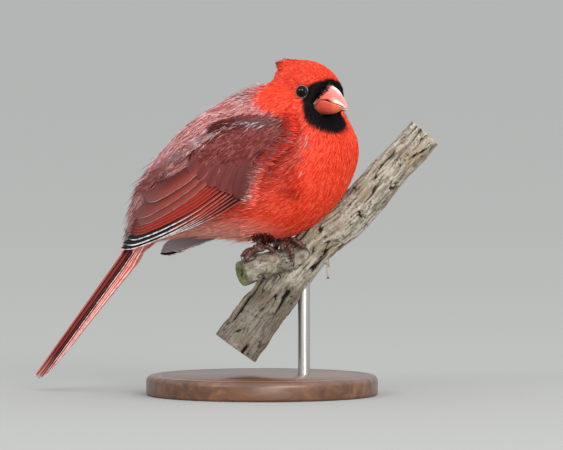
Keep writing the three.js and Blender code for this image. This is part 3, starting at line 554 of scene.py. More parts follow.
def neck_shape():
    rings, a = [], circle(48)
    for v in np.linspace(-0.995, 0.995, 30):
        t = (v + 1) / 2
        x, y, z = mix(np.array(NECK_FROM, float), np.array(NECK_TO, float), t)
        full = min(1, 1.6 * math.sqrt(1 - v * v))
        rx, ry = mix(np.array(NECK_FROM_RADII), np.array(NECK_TO_RADII), smooth(t, 0, 1)) * full
        rings.append(np.stack([x + rx * np.cos(a), y + ry * np.sin(a), np.full(48, z)], -1))
    return loft(np.array(rings))


def bed_depth(x, z):
    """How far out the wing bed lies at places of the side view."""
    lo, hi = np.zeros_like(x), np.ones_like(x)
    for _ in range(18):
        t = (lo + hi) / 2
        top, low = curve(BED["back"], t), curve(BED["belly"], t)
        dx, dz = low[..., 0] - top[..., 0], low[..., 1] - top[..., 1]
        ahead = dx * (z - top[..., 1]) - dz * (x - top[..., 0]) > 0
        lo, hi = np.where(ahead, t, lo), np.where(ahead, hi, t)
    down = ((x - top[..., 0]) * dx + (z - top[..., 1]) * dz) / (dx * dx + dz * dz)
    u = np.minimum(0.995, np.abs(2 * down - 1))
    return curve(BED["half"], t) * (1 - u**BED_SQUARE) ** (1 / BED_SQUARE)


def on_bed(x, z, off):
    """A point on the left side's wing bed, raised off it along its normal."""
    e = 0.5
    nx = -(bed_depth(x + e, z) - bed_depth(x - e, z)) / (2 * e)
    nz = -(bed_depth(x, z + e) - bed_depth(x, z - e)) / (2 * e)
    n = unit(np.stack([nx, np.ones_like(nx), nz], -1))
    return np.stack([x, bed_depth(x, z), z], -1) + n * np.asarray(off)[..., None]


def folded(x, z, side):
    """Side-view places of a folded wing, turned about the shoulder on the left side."""
    a, shift = (math.radians(LEFT_WING_DROOP), LEFT_WING_SHIFT) if side > 0 else (0, 0)
    dx, dz = x - SHOULDER[0], z - SHOULDER[1]
    return (SHOULDER[0] + math.cos(a) * dx - math.sin(a) * dz + shift,
            SHOULDER[1] + math.sin(a) * dx + math.cos(a) * dz)


def arm_radius(angle):
    o = np.array(ARM_OUTLINE, float) - ARM_MIDDLE
    a, r = np.arctan2(o[:, 1], o[:, 0]), np.hypot(o[:, 0], o[:, 1])
    order = np.argsort(a)
    a, r = a[order], r[order]
    return np.interp(angle, np.r_[a[-1] - 2 * math.pi, a, a[0] + 2 * math.pi], np.r_[r[-1], r, r[0]])


def arm_shape(side):
    """The arm under the coverts, a low pad on the wing bed whose edge sinks into the body."""
    polar, angle = np.meshgrid(np.linspace(0.02, math.pi - 0.02, 30),
                               np.linspace(-math.pi, math.pi, 80, endpoint=False), indexing="ij")
    ring, dome = np.sin(polar), np.abs(np.cos(polar))
    r = arm_radius(angle) * ring
    x, z = ARM_MIDDLE[0] + r * np.cos(angle), ARM_MIDDLE[1] + r * np.sin(angle)
    high = mix(*ARM_HIGH, smooth(z, 108, 124)) - 0.5
    off = np.where(np.cos(polar) > 0, high * dome**0.7, -6 * dome**0.4) - 0.6 * ARM_EDGE * ring**6
    return loft(on_bed(*folded(x, z, side), off) * [1, side, 1])


crest = limb(CREST_CORE, lambda t, a: 0.5 * curve(CREST_CORE_RADII, t) + 0 * a, 24, 20, flat=2.0)
SHELLS = [ribbed(TORSO, 96, 80), neck_shape()]
SHELLS += [(head_to_bird(p), f) for p, f in (ribbed(HEAD, 72, 48), crest)]
skin_mesh = skinned("skin", [outward(*s) for s in SHELLS], 1.0, 9)


def dress(me):
    """Draws the skin in under the coat's depth and stores what the coat reads from it."""
    p, n = points_of(me), normals_of(me)
    h = bird_to_head(p)
    depth = 0.15 + 0.9 * feather_size(p)[:, 2]
    bare = np.zeros(len(p))
    for side in SIDES.values():
        out = unit(np.array(EYE_OUT) * [1, side, 1])
        d = h - np.array(EYE_AT) * [1, side, 1]
        off_axis = np.linalg.norm(d - (d @ out)[:, None] * out, axis=1)
        depth = mix(depth, 1.7, smooth(off_axis, 4.4, 3.1) * (d @ out > 0))
        bare = np.maximum(bare, (off_axis < LID_RADIUS - 0.1) & (d @ out > 0))
    # The crest's blade is too thin to be drawn in
    depth = mix(depth, 0.1, smooth(-h[:, 0], 9, 14) * smooth(h[:, 2], 8, 11))
    h = bird_to_head(p - n * depth[:, None])
    # The face is drawn back round the bill's base, down to the gape
    round_bill = smooth(np.hypot(h[:, 1] / 6.8, (h[:, 2] + 2.6) / 7.2), 1.3, 0.95) * (h[:, 0] > 5)
    back = np.interp(h[:, 2], FACE_Z, FACE_X) - 1.1
    h[:, 0] = mix(h[:, 0], np.minimum(h[:, 0], back), round_bill)
    p = head_to_bird(h)
    n = normals_of(move(me, p))
    h = bird_to_head(p)
    wide = 5.2 - 0.45 * np.maximum(0, h[:, 2])
    in_bill = (h[:, 0] > 15.3) & (np.abs(h[:, 1]) < wide) & (h[:, 2] < 5.4) & (h[:, 2] > -8.6)
    peak = (h[:, 0] < -15) & (h[:, 2] > 13)
    head = np.linalg.norm((h - [1, 0, 0]) / [22, 19, 24], axis=1) < 1
    x, y, z = p.T
    arm = (side_line(p, [-58, 106], [20, 131]) < 0) & (side_line(p, [-68, 78], [3, 101]) > 3) & (x < 2)
    under_wing = arm & (x > -56) & (np.abs(y) > 14)
    marks = markings(p)
    put(me, marks=four(*marks), lie=feather_lie(p, n), out=n, size=feather_size(p) * MM, unwrap=unwrap(p),
        dense=np.clip(1 - bare - in_bill - under_wing - peak, 0, 1),
        loose=np.clip(0.2 + 0.5 * smooth(-x, 40, 62), 0, 1),
        silver=np.clip(marks[3], 0, 1) * (1 - under_wing),
        part=np.select([head, z < 104, x > 12], [0, 6, 4], 2) + (y > 0))


dress(skin_mesh)


# Tufts: spindle-shaped barbs either side of a hidden shaft, in shares of the tuft's length, half width and
# height

SPINDLE = np.array([[0, 1, 2], [0, 2, 3], [0, 3, 1], [4, 2, 1], [4, 3, 2], [4, 1, 3]])


def tuft(name, barbs, seed, stout):
    rng = np.random.default_rng(seed)
    shapes, strands = [], []
    for i in range(barbs):
        u = 2 * i / (barbs - 1) - 1
        x0, x2 = 0.2 * rng.random() * (1 - abs(u)), 1 - 0.2 * u * u - 0.2 * rng.random()
        y = u * np.array([0.3, 0.75, 0.95]) + rng.normal(0, 0.08, 3) * [0.3, 1, 1.6]
        tall = 0.3 + 0.85 * rng.random() ** 1.6
        x1, z1, z2 = mix(x0, x2, 0.45), 0.85 * tall, tall * (0.5 + 0.5 * rng.random())
        half = stout * (8 / barbs)
        points = np.array([[x0, y[0], -0.5], [x1, y[1] - half, z1], [x1, y[1] + half, z1],
                           [x1, y[1], z1 + 0.25], [x2, y[2], z2]])
        shapes.append(outward(points, SPINDLE))
        strands.append(four(points[:, 0], rng.random(), 0.5 + 0.5 * u))
    points, faces = joined(shapes)
    me = make_mesh(name, points / MM, faces, strand=np.vstack(strands), local=points)
    return bpy.data.objects.new(name, me)


def flock(name, barbs, stout):
    """Six different tufts to draw from."""
    group = bpy.data.collections.new(name)
    for k in range(6):
        group.objects.link(tuft(f"{name}_{k}", barbs, 40 + k, stout))
    return group


BODY_TUFTS, WISPS = flock("tuft", 8, 0.17), flock("wisp", 3, 0.1)


PATCH = 0.003  # the width of a tuft's patch on the bake's map


def coat_tree():
    """Sows tufts over a skin, lays them along its lie, bends them to its surface and makes them real."""
    tree = bpy.data.node_groups.new("coat", "GeometryNodeTree")
    node = partial(add, tree)
    for label, kind, value in [
        ("Geometry", "Geometry", None), ("Tufts", "Collection", None), ("Finish", "Material", None),
        ("Where", "String", "dense"), ("Spacing", "Float", 0.0013), ("Part", "Int", 0),
        ("Spin", "Float", 0.12), ("Seed", "Int", 1), ("Patch", "Float", PATCH),
        ("Shape", "Vector", (1, 1, 1)), ("Stand", "Float", 0.0),
    ]:
        socket = tree.interface.new_socket(name=label, in_out="INPUT", socket_type="NodeSocket" + kind)
        if value is not None:
            socket.default_value = value
    tree.interface.new_socket(name="Geometry", in_out="OUTPUT", socket_type="NodeSocketGeometry")
    given = node("NodeGroupInput")
    stored = {"part": "INT", "loose": "FLOAT", "marks": "FLOAT_COLOR",
              **dict.fromkeys(("size", "out", "lie", "grown", "local", "unwrap"), "FLOAT_VECTOR")}
    named = {label: node("GeometryNodeInputNamedAttribute", {"Name": label}, data_type=kind)
             for label, kind in stored.items()}
    draws = []
    for number, low, high, kind in [(1, 0.85, 1.15, "FLOAT"), (2, -1.0, 1.0, "FLOAT"),
                                    (3, -1.0, 1.0, "FLOAT"), (4, 0, 5, "INT")]:
        seed = node("Math", {0: (given, "Seed"), 1: float(number)}, operation="ADD")
        draws.append(node("FunctionNodeRandomValue", {"Min": low, "Max": high, "Seed": seed}, data_type=kind))
    scale, tint, spin, pick = draws

    here = node("FunctionNodeCompare", {"A": named["part"], "B": (given, "Part")}, data_type="INT",
                operation="EQUAL")
    thick = node("GeometryNodeInputNamedAttribute", {"Name": (given, "Where")}, data_type="FLOAT")
    sown = node("GeometryNodeDistributePointsOnFaces", {
        "Mesh": (given, "Geometry"), "Selection": here, "Distance Min": (given, "Spacing"),
        "Density Max": 4.0e6, "Density Factor": thick, "Seed": (given, "Seed")}, distribute_method="POISSON")
    size = node("VectorMath", {0: named["size"], "Scale": scale}, operation="SCALE")
    size = node("VectorMath", {0: size, 1: (given, "Shape")}, operation="MULTIPLY")
    points = (sown, "Points")
    for label, kind, value in [("tint", "FLOAT", tint), ("grown", "FLOAT_VECTOR", size)]:
        points = node("GeometryNodeStoreNamedAttribute", {"Geometry": points, "Name": label, "Value": value},
                      data_type=kind)
    aim = node("FunctionNodeAxesToRotation", {"Primary Axis": named["out"], "Secondary Axis": named["lie"]},
               primary_axis="Z", secondary_axis="X")
    spin = node("Math", {0: spin, 1: (given, "Spin")}, operation="MULTIPLY")
    spin = node("FunctionNodeAxisAngleToRotation", {"Axis": (0, 0, 1), "Angle": spin})
    aim = node("FunctionNodeRotateRotation", {"Rotation": aim, "Rotate By": spin}, rotation_space="LOCAL")
    kinds = node("GeometryNodeCollectionInfo", {"Collection": (given, "Tufts"), "Separate Children": True})
    set_out = node("GeometryNodeInstanceOnPoints", {
        "Points": points, "Instance": kinds, "Pick Instance": True, "Instance Index": pick, "Rotation": aim,
        "Scale": named["grown"]})
    real = node("GeometryNodeRealizeInstances", {"Geometry": set_out})

    # The tuft's own height is kept over the skin, and the loose share leaves it straight
    at = node("GeometryNodeInputPosition")
    ground, out, marks = (
        node("GeometryNodeSampleNearestSurface", {
            "Mesh": (given, "Geometry"), "Value": value, "Sample Position": at}, data_type=kind)
        for value, kind in [(at, "FLOAT_VECTOR"), (named["out"], "FLOAT_VECTOR"),
                            (named["marks"], "FLOAT_COLOR")])
    local, high = (node("SeparateXYZ", {0: named[label]}) for label in ("local", "grown"))
    lift = node("Math", {0: (local, "Z"), 1: (high, "Z")}, operation="MULTIPLY")
    raised = node("VectorMath", {0: out, "Scale": lift}, operation="SCALE")
    bent = node("VectorMath", {0: ground, 1: raised}, operation="ADD")
    stand = node("Math", {0: named["loose"], 1: (given, "Stand")}, operation="ADD", use_clamp=True)
    laid = node("Mix", {"Factor": stand, "A": bent, "B": at}, data_type="VECTOR")
    laid = node("GeometryNodeSetPosition", {"Geometry": real, "Position": laid})

    # Each tuft's own patch of the map lies at its place on the rolled-out skin
    across = node("CombineXYZ", {"X": (local, "Y"), "Y": (local, "X")})
    patch = node("Math", {0: (given, "Patch"), 1: 0.5}, operation="MULTIPLY")
    patch = node("VectorMath", {0: across, "Scale": patch}, operation="SCALE")
    spot = node("VectorMath", {0: named["unwrap"], 1: patch}, operation="ADD")
    for label, kind, value, domain in [
        ("marks", "FLOAT_COLOR", marks, "POINT"), ("soft", "FLOAT_VECTOR", out, "POINT"),
        ("OFBake", "FLOAT2", spot, "CORNER"),
    ]:
        laid = node("GeometryNodeStoreNamedAttribute", {"Geometry": laid, "Name": label, "Value": value},
                    data_type=kind, domain=domain)
    done = node("GeometryNodeSetMaterial", {"Geometry": laid, "Material": (given, "Finish")})
    node("NodeGroupOutput", {"Geometry": done})
    return tree


COAT = coat_tree()
SOFTNESS = 0.7  # how far the barbs shade as one surface with the skin under them


def grow_coat(name, skin, finish, slot, **inputs):
    """A piece of coat over a skin mesh, as a plain mesh."""
    host = in_scene(name, skin)
    sow = host.modifiers.new("coat", "NODES")
    sow.node_group = COAT
    sockets = {s.name: s.identifier for s in COAT.interface.items_tree if s.in_out == "INPUT"}
    for label, value in {"Finish": finish, **inputs}.items():
        sow[sockets[label]] = value
    me = grown(host)
    soft = read(me.attributes["soft"].data, "vector", 3)
    move(me, bird_to_root(points_of(me)))
    for spare in ("local", "unwrap", "lie", "out", "size", "grown", "dense", "part", "soft", "loose",
                  "silver"):
        if me.attributes.get(spare):
            me.attributes.remove(me.attributes[spare])
    facing_out = unit(mix(normals_of(me), bird_to_root(soft), SOFTNESS))
    me.normals_split_custom_set_from_vertices(facing_out.tolist())
    place(name, me)


# Finishes of the plumage

def marked(node, colour, mantle, pale):
    """Lays the mantle's and the belly's colours, then the mask's, over a colour where the marks say so. Below
    the wing, the mantle's and the mask's shares also lay painted shade on the flank.
    """
    marks = node("Attribute", attribute_name="marks")
    share = node("SeparateColor", {0: (marks, "Color")})
    for part, over in ("Green", mantle), ("Blue", pale), ("Red", "#040202"):
        colour = node("Mix", {"Factor": (share, part), "A": colour, "B": over}, data_type="RGBA")
    return colour


def loose_barbs(node, reds, dulls, pale, fringe, fringe_from):
    """Loose barbs are hollow keratin full of red carotenoid, without hooks to lock them. The eye sees soft
    scarlet, silver where worn mantle tips carry no pigment, velvet black on the face where melanin fills them,
    and a darker root in the shade of the barbs above. On the flank below the wing, the mask's black and the
    dull colour are painted shade."""
    strand, tint, marks = (node("Attribute", attribute_name=label) for label in ("strand", "tint", "marks"))
    strand = node("SeparateColor", {0: (strand, "Color")})
    tint = node("MapRange", {"Value": (tint, "Fac"), "From Min": -1.0, "To Max": 0.3})
    picked = node("Math", {0: (strand, "Green"), 1: 0.7, 2: tint}, operation="MULTIPLY_ADD")
    red, dull = (node("ValToRGB", {"Fac": picked}, stops=stops) for stops in (reds, dulls))
    edge = node("MapRange", {"Value": (strand, "Red"), "From Min": fringe_from, "To Max": 0.75})
    bleached = node("MapRange", {
        "Value": (strand, "Green"), "From Min": 0.35, "From Max": 0.7, "To Min": 0.22})
    silver = node("Math", {0: edge, 1: (marks, "Alpha")}, operation="MULTIPLY")
    silver = node("Math", {0: silver, 1: bleached}, operation="MULTIPLY")
    colour = marked(node, red, dull, pale)
    colour = node("Mix", {"Factor": silver, "A": colour, "B": fringe}, data_type="RGBA")
    root = node("MapRange", {"Value": (strand, "Red"), "From Max": 0.45, "To Min": 0.62})
    colour = node("Mix", {"Factor": 1.0, "A": colour, "B": root}, data_type="RGBA", blend_type="MULTIPLY")
    return {"Base Color": colour, "Roughness": 0.6, "Specular IOR Level": 0.14}


def felted_down(node, colour, mantle, pale):
    """Under-down is a felt of short matted plumules. It shows between the tufts as a dull floor in the same
    markings, with a grain as fine as the barbs."""
    at = node("TexCoord")
    felt = node("TexNoise", {"Vector": (at, "Object"), "Scale": 1 / (0.5 * MM), "Detail": 4.0})
    bump = node("Bump", {"Height": felt, "Strength": 0.5, "Distance": 0.3 * MM})
    return {"Base Color": marked(node, colour, mantle, pale), "Roughness": 0.9, "Normal": bump,
            "Specular IOR Level": 0.1}


REDS = [(0.05, "#c42512"), (0.4, "#e43a22"), (0.7, "#f24a30"), (0.95, "#fb7454")]
DULLS = [(0.05, "#863229"), (0.4, "#b15b54"), (0.65, "#cf8883"), (0.95, "#e8c8ca")]
DARKS = [(0.05, "#240c0a"), (0.4, "#3c1411"), (0.7, "#551e19"), (0.95, "#7a342d")]
MAROONS = [(0.05, "#561a18"), (0.4, "#732c28"), (0.7, "#85403c"), (0.95, "#a06a68")]
# SCARLET's pale #ffb6a6 is lighter than the feathers' own pale, as painted light through the belly's edge
SCARLET = material("scarlet_barbs", loose_barbs, REDS, DULLS, "#ffb6a6", "#d6c2ca", 0.45)
SILVER = material("silver_barbs", loose_barbs, DULLS, DULLS, "#e0b0ac", "#d8c6ca", 0.0)
MAROON = material("maroon_barbs", loose_barbs, MAROONS, MAROONS, "#a06058", "#b59a9c", 0.55)
# SHANK_FLUFF's near-black DARKS are painted shade on the thigh plumes under the belly
SHANK_FLUFF = material("shank_fluff", loose_barbs, DARKS, DARKS, "#4c1a16", "#5a2a26", 0.8)
DOWN = material("under_down", felted_down, "#b22c1c", "#80483f", "#d88474")
ARM_DOWN = material("arm_down", felted_down, "#6c2c28", "#6c2c28", "#6c2c28")


def turned(me):
    """A copy of a mesh in the bird's frame, in the root frame."""
    return move(me.copy(), bird_to_root(points_of(me)))


def spikes(roots, tips, wide, bend=0.0):
    """Fine tapered barbs in fives of points, each a spindle from its root to its tip."""
    ahead = unit(tips - roots)
    side = unit(np.cross(ahead, [0.3, 0.2, 0.9])) * np.broadcast_to(wide, len(roots))[:, None]
    up = np.cross(side, ahead)
    middle = mix(roots, tips, 0.4) + bend
    ring = [middle + side * math.cos(t) + up * math.sin(t) for t in (0, 2.1, 4.2)]
    points = np.stack([roots, *ring, tips], 1).reshape(-1, 3)
    return outward(points, (SPINDLE + 5 * np.arange(len(roots))[:, None, None]).reshape(-1, 3))


def plumes(name, roots, tips, wide, finish, bend, seed):
    """Loose single plumes over the coat, in the bird's frame, marked and mapped as the coat is."""
    p, f = spikes(roots, tips, wide, bend)
    count = len(roots)
    rng = np.random.default_rng(seed)
    along, across = np.tile([[0, 0.4, 0.4, 0.4, 1], [0, -1, 1, 0, 0]], count)
    picked, tint = np.repeat(rng.random(count), 5), np.repeat(rng.uniform(-1, 1, count), 5)
    me = make_mesh(name, bird_to_root(p), f, marks=four(*markings(p)), strand=four(along, picked, 0.5),
                   tint=tint)
    map_points(me, np.repeat(unwrap(roots)[:, :2], 5, 0) + PATCH / 2 * np.stack([across, 2 * along], -1))
    place(name, me, finish)


def sprinkle(name, chosen, count, length, lean, spread, wide, finish, seed, towards=None):
    """Plumes from chosen points of the skin, along the feathers' lie and leaning out from it."""
    rng = np.random.default_rng(seed)
    p, n = SKIN_AT[chosen], SKIN_OUT[chosen]
    pick = rng.choice(len(p), count)
    p, n = p[pick] + rng.normal(0, 0.5, (count, 3)), n[pick]
    way = feather_lie(p, n) if towards is None else unit(towards - p)
    reach = rng.uniform(*length, count)
    if towards is not None:
        reach = np.minimum(reach, np.linalg.norm(towards - p, axis=1) * rng.uniform(0.75, 1.08, count))
    aim = unit(way + lean * rng.uniform(0.3, 1, (count, 1)) * n + rng.normal(0, spread, (count, 3)))
    plumes(name, p - 0.3 * n, p + aim * reach[:, None], wide, finish, 0.35 * n, seed)


place("skin", turned(skin_mesh), DOWN, ["head", "neck", "torso"])
STEP, FEW = ((1.0, 1.0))
for number, (label, gap) in enumerate([("face", 0.62), ("back", 0.98), ("breast", 0.98), ("belly", 0.98)]):
    for left, side in enumerate(SIDES):
        part = 2 * number + left
        grow_coat(f"coat_{label}_{side}", skin_mesh, SCARLET, "body_feathers", Tufts=BODY_TUFTS,
                  Spacing=gap * STEP * MM, Part=part, Seed=20 + part)
        if label in ("back", "breast"):
            grow_coat(f"coat_wisps_{label}_{side}", skin_mesh, SILVER, "body_feathers", Tufts=WISPS,
                      Where="silver", Spacing=2.1 * STEP * MM, Part=part, Seed=60 + part,
                      Shape=(1.6, 1.0, 1.5), Stand=0.15, Spin=0.2)

SKIN_AT, SKIN_OUT = points_of(skin_mesh), normals_of(skin_mesh)
(x, y, z), at_head = SKIN_AT.T, bird_to_head(SKIN_AT)
CROWN = (at_head[:, 2] > 12) & (at_head[:, 0] < 1) & (np.linalg.norm(at_head - CREST_TIP, axis=1) < 20)
PEAK = (at_head[:, 2] > 10) & (at_head[:, 0] < -11)
NAPE = (z > 148) & (at_head[:, 2] < 8) & (x < 8) & (x > -12) & (SKIN_OUT[:, 0] < 0.2)
RUMP = (x < -50) & (SKIN_OUT[:, 2] > -0.3)
VENT = (SKIN_OUT[:, 2] < -0.35) & (x < 6) & (x > -62)
BREAST, THIGHS = (np.abs(x - 26) < 6) & (np.abs(z - 119) < 15), SKIN_OUT[:, 2] < -0.5
for name, chosen, count, *how in [  # then lengths, lean, spread, half width, finish, seed and their aim
    ("crest", CROWN, 1600, (6, 11), 0.02, 0.03, 0.26, SCARLET, 5, head_to_bird(CREST_TIP + [-1.2, 0, -0.8])),
    ("peak", PEAK, 520, (2.5, 4.5), 0.02, 0.03, 0.3, SCARLET, 11),
    ("nape", NAPE, 420, (5, 9), 0.22, 0.12, 0.17, SILVER, 6),
    ("rump", RUMP, 520, (8, 13), 0.3, 0.1, 0.2, SILVER, 7),
    *((f"shoulder_{label}", BREAST & (side * y > 15), 480, (6, 10), 0.4, 0.1, 0.22, SCARLET, 10)
      for label, side in SIDES.items()),
    ("vent", VENT, 1500, (8, 13), 0.22, 0.12, 0.2, SCARLET, 8),
    # The thigh plumes wear SHANK_FLUFF's near-black reds as painted shade under the belly
    *((f"thigh_{label}", THIGHS & (np.hypot(x - LEG_X, y - side * LEG_Y) < 6), 260, (3, 6), 0.1, 0.3, 0.22,
       SHANK_FLUFF, 9, np.array([LEG_X + 1, side * LEG_Y, 70])) for label, side in SIDES.items()),
]:
    sprinkle(f"coat_{name}", chosen, int(count * FEW), *how)


# Feathers with vanes

# A line of shade for each few barbs, on a web this long and wide
BARB_LINE, WEB_LENGTH, WEB_WIDE = 0.9, 60, 5.5


def vane_width(s, round_from, at_root=0.45):
    tip = np.sqrt(np.clip(1 - ((s - round_from) / (1 - round_from)) ** 2, 0.0025, 1))
    return np.where(s > round_from, tip, mix(at_root, 1, np.minimum(1, s * 3)))


def vane(spot, kind, stations, across, shape, thick):
    """A thin closed vane, its look, its patch of the map and its finish's number. shape(s, a) gives its
    middle surface and normal: s from root to tip, a from -1 to 1."""
    s, a = np.meshgrid(np.linspace(0, 1, stations), np.linspace(-1, 1, across), indexing="ij")
    middle, normal = shape(s, a)
    deep = (thick * (0.35 + 0.65 * (1 - a**2)))[..., None] / 2 * normal
    points = np.concatenate([(middle + deep).reshape(-1, 3), (middle - deep).reshape(-1, 3)])
    upper, w, last = grid(stations, across, columns_close=False), stations * across, (stations - 1) * across
    edge = np.r_[np.arange(across), np.arange(1, stations) * across + across - 1,
                 last + np.arange(across - 2, -1, -1), np.arange(stations - 2, 0, -1) * across]
    after = np.roll(edge, -1)
    rim = [np.stack([edge, edge + w, after + w], -1), np.stack([edge, after + w, after], -1)]
    points, faces = outward(points, np.vstack([upper, upper[:, [0, 2, 1]] + w, *rim]))
    under = np.repeat([0, 1], w)
    look = four(np.tile(0.5 + 0.5 * a.ravel(), 2), np.tile(s.ravel(), 2), (spot * 0.618) % 1, under)
    row, column = divmod(spot, 10)
    across = (column + 0.04 + 0.44 * look[:, 0] + 0.48 * under) / 10
    along = (row + 0.03 + 0.94 * look[:, 1]) / 10
    return points, faces, look, np.stack([across, along], -1), np.full(len(faces), kind, np.int32)


def vanes_piece(name, vanes, to_bird, finishes, replaced):
    """One piece of many vanes, each with its finish and its own patch of the map."""
    points, faces = joined([v[:2] for v in vanes])
    if np.linalg.det(to_bird(np.eye(3)) - to_bird(np.zeros((3, 3)))) < 0:
        faces = faces[:, ::-1]
    look, spots, kinds = (np.concatenate([v[part] for v in vanes]) for part in (2, 3, 4))
    me = make_mesh(name, bird_to_root(to_bird(points)), faces, vane=look)
    map_points(me, spots)
    for finish in finishes:
        me.materials.append(finish)
    me.polygons.foreach_set("material_index", kinds)
    place(name, me, None, [replaced])


def wing_feather(spot, kind, feather, side, off, tilt, round_from, sunk=0.0, camber=0.12):
    """A feather laid on the wing bed: its lower edge is a -1, and root and tip are the CAD's."""
    (ax, az), (bx, bz), below, above = feather
    length = math.hypot(bx - ax, bz - az)
    ux, uz = (bx - ax) / length, (bz - az) / length
    wave = np.random.default_rng(spot + 100).random(2) * 6

    def surface(s, a, more=0.0):
        nicked = 1 - 0.025 * np.sin(s * 37 + wave[0]) * np.sin(s * 13 + wave[1]) * (np.abs(a) > 0.9)
        v = a * np.where(a < 0, below, above) * nicked * vane_width(s, round_from)
        bow = SAG * length * 4 * s * (1 - s)
        x, z = ax + ux * length * s + uz * (v - bow), az + uz * length * s - ux * (v - bow)
        shaft = 0.1 * bell(a, 0, 0.12) * (1 - 0.6 * s)
        raised = off - sunk * (1 - s) ** 3 + tilt * v + camber * (1 - a**2) + shaft + more
        return on_bed(*folded(x, z, side), raised)

    def shape(s, a):
        p = surface(s, a)
        return p, unit(surface(s, a, 0.2) - p)

    return vane(spot, kind, 34 if length > 25 else 22, 13, shape, 0.2)


def hooked_web(node, stops, edge, edge_at, tipped=None, below="#8f8a8c"):
    """A web of barbs that hook into one sheet, melanin on the hidden half and carotenoid on the open one. The
    eye sees a satin strip of colour with a thin worn edge and faint slanting lines, one for each few barbs.
    The tertials' darkening towards their covered edge is painted shade, and so is the tail's dark web."""
    vane_at, at = node("Attribute", attribute_name="vane"), node("TexCoord")
    look = node("SeparateColor", {0: (vane_at, "Color")})
    colour = node("ValToRGB", {"Fac": (look, "Red")}, stops=stops)
    colour = node("Mix", {"Factor": (vane_at, "Alpha"), "A": colour, "B": below}, data_type="RGBA")
    # Barbs slant back from the shaft
    away = node("Math", {0: (look, "Red"), 1: 0.5}, operation="SUBTRACT")
    away = node("Math", {0: away}, operation="ABSOLUTE")
    along = node("Math", {0: (look, "Green"), 1: WEB_LENGTH / BARB_LINE * math.tau}, operation="MULTIPLY")
    slant = node("Math", {0: away, 1: -2 * WEB_WIDE * math.tau / BARB_LINE, 2: along},
                 operation="MULTIPLY_ADD")
    lines = node("Math", {0: slant}, operation="SINE")
    mottle = node("TexNoise", {"Vector": (at, "Object"), "Scale": 1 / (2.2 * MM), "Detail": 3.0})
    shade = node("MapRange", {"Value": lines, "From Min": -1.0, "To Min": 0.88, "To Max": 1.04})
    colour = node("Mix", {"Factor": 1.0, "A": colour, "B": shade}, data_type="RGBA", blend_type="MULTIPLY")
    worn = node("MapRange", {"Value": (look, "Red"), "From Min": edge_at, "From Max": edge_at - 0.04})
    kept = node("MapRange", {"Value": mottle, "From Min": 0.35, "From Max": 0.55, "To Min": 0.35})
    worn = node("Math", {0: worn, 1: kept}, operation="MULTIPLY")
    if tipped:
        start, end, *tips = tipped
        at_tip = node("MapRange", {"Value": (look, "Green"), "From Min": start, "From Max": end})
        colour, edge = (node("Mix", {"Factor": at_tip, "A": base, "B": tip}, data_type="RGBA")
                        for base, tip in zip((colour, edge), tips))
    colour = node("Mix", {"Factor": worn, "A": colour, "B": edge}, data_type="RGBA")
    bump = node("Bump", {"Height": lines, "Strength": 0.25, "Distance": 0.08 * MM})
    return {"Base Color": colour, "Roughness": 0.5, "Specular IOR Level": 0.2, "Normal": bump,
            "Sheen Weight": 0.03}


# Each web: its colours from lower to upper edge, the worn edge's colour and place, and how its tip fades
WING_WEBS = [material(f"{name}_web", hooked_web, *given) for name, *given in [
    ("primary", [(0.0, "#b03424"), (0.18, "#962618"), (0.27, "#5e140f"), (0.33, "#120808")], "#a8685e", 0.11,
     (0.3, 0.62, "#120e0e", "#f4ecec")),
    ("secondary", [(0.0, "#a52c1e"), (0.2, "#8e2015"), (0.27, "#64140d"), (0.34, "#100606")], "#b2564a", 0.05,
     (0.8, 1.0, "#5c221d", "#c09a96")),
    # The tertial's stops darken towards the edge that the next feather covers: painted shade
    ("tertial", [(0.0, "#8c453e"), (0.3, "#83332b"), (0.5, "#6c251f"), (0.75, "#541b17")], "#9c7a76", 0.07,
     (0.6, 1.0, "#6b3d3a", "#b09c9b")),
    ("greater_covert", [(0.0, "#7a3833"), (0.4, "#6c2d29"), (0.7, "#5c2522"), (1.0, "#6e332f")], "#9a6560",
     0.06),
    ("median_covert", [(0.0, "#763632"), (0.5, "#682b28"), (1.0, "#763834")], "#8c5652", 0.07),
    ("inner", [(0.0, "#989497"), (0.6, "#858184"), (1.0, "#6e6a6c")], "#d8d4d5", 0.06),
    ("front_covert", [(0.0, "#5f2925"), (0.5, "#54221f"), (1.0, "#5f2a26")], "#96605a", 0.08),
]]
FLIGHT = dict(off=0.9, tilt=-0.34, round_from=0.88)
WING_ROWS = [  # each row's web, its feathers, their half width where the table gives none, and how they lie
    (0, PRIMARIES, [], FLIGHT),
    (1, SECONDARIES, [], FLIGHT),
    (2, TERTIALS, [], dict(off=1.6, tilt=-0.13, round_from=0.8, camber=0.06)),
    (3, GREATER_COVERTS, [GREATER_HALF] * 2,
     dict(off=1.9, tilt=0.06, round_from=0.6, sunk=COVERT_SUNK, camber=0.06)),
    (6, [FRONT_COVERT], [FRONT_HALF] * 2,
     dict(off=2.5, tilt=0.1, round_from=0.6, sunk=COVERT_SUNK, camber=0.1)),
    (4, MEDIAN_COVERTS, [MEDIAN_HALF] * 2,
     dict(off=1.4, tilt=0.06, round_from=0.55, sunk=COVERT_SUNK, camber=0.05)),
    (5, [UNDER_WEB], [], dict(off=0.25, tilt=0.0, round_from=0.7, camber=0.0)),
]


def wing(side, label):
    made = []
    for kind, feathers, halves, lay in WING_ROWS:
        for feather in feathers:
            made.append(wing_feather(len(made), kind, feather + halves, side, **lay))
    vanes_piece(f"vanes_{label}", made, lambda p: p * [1, side, 1], WING_WEBS,
                f"wing_{label}")


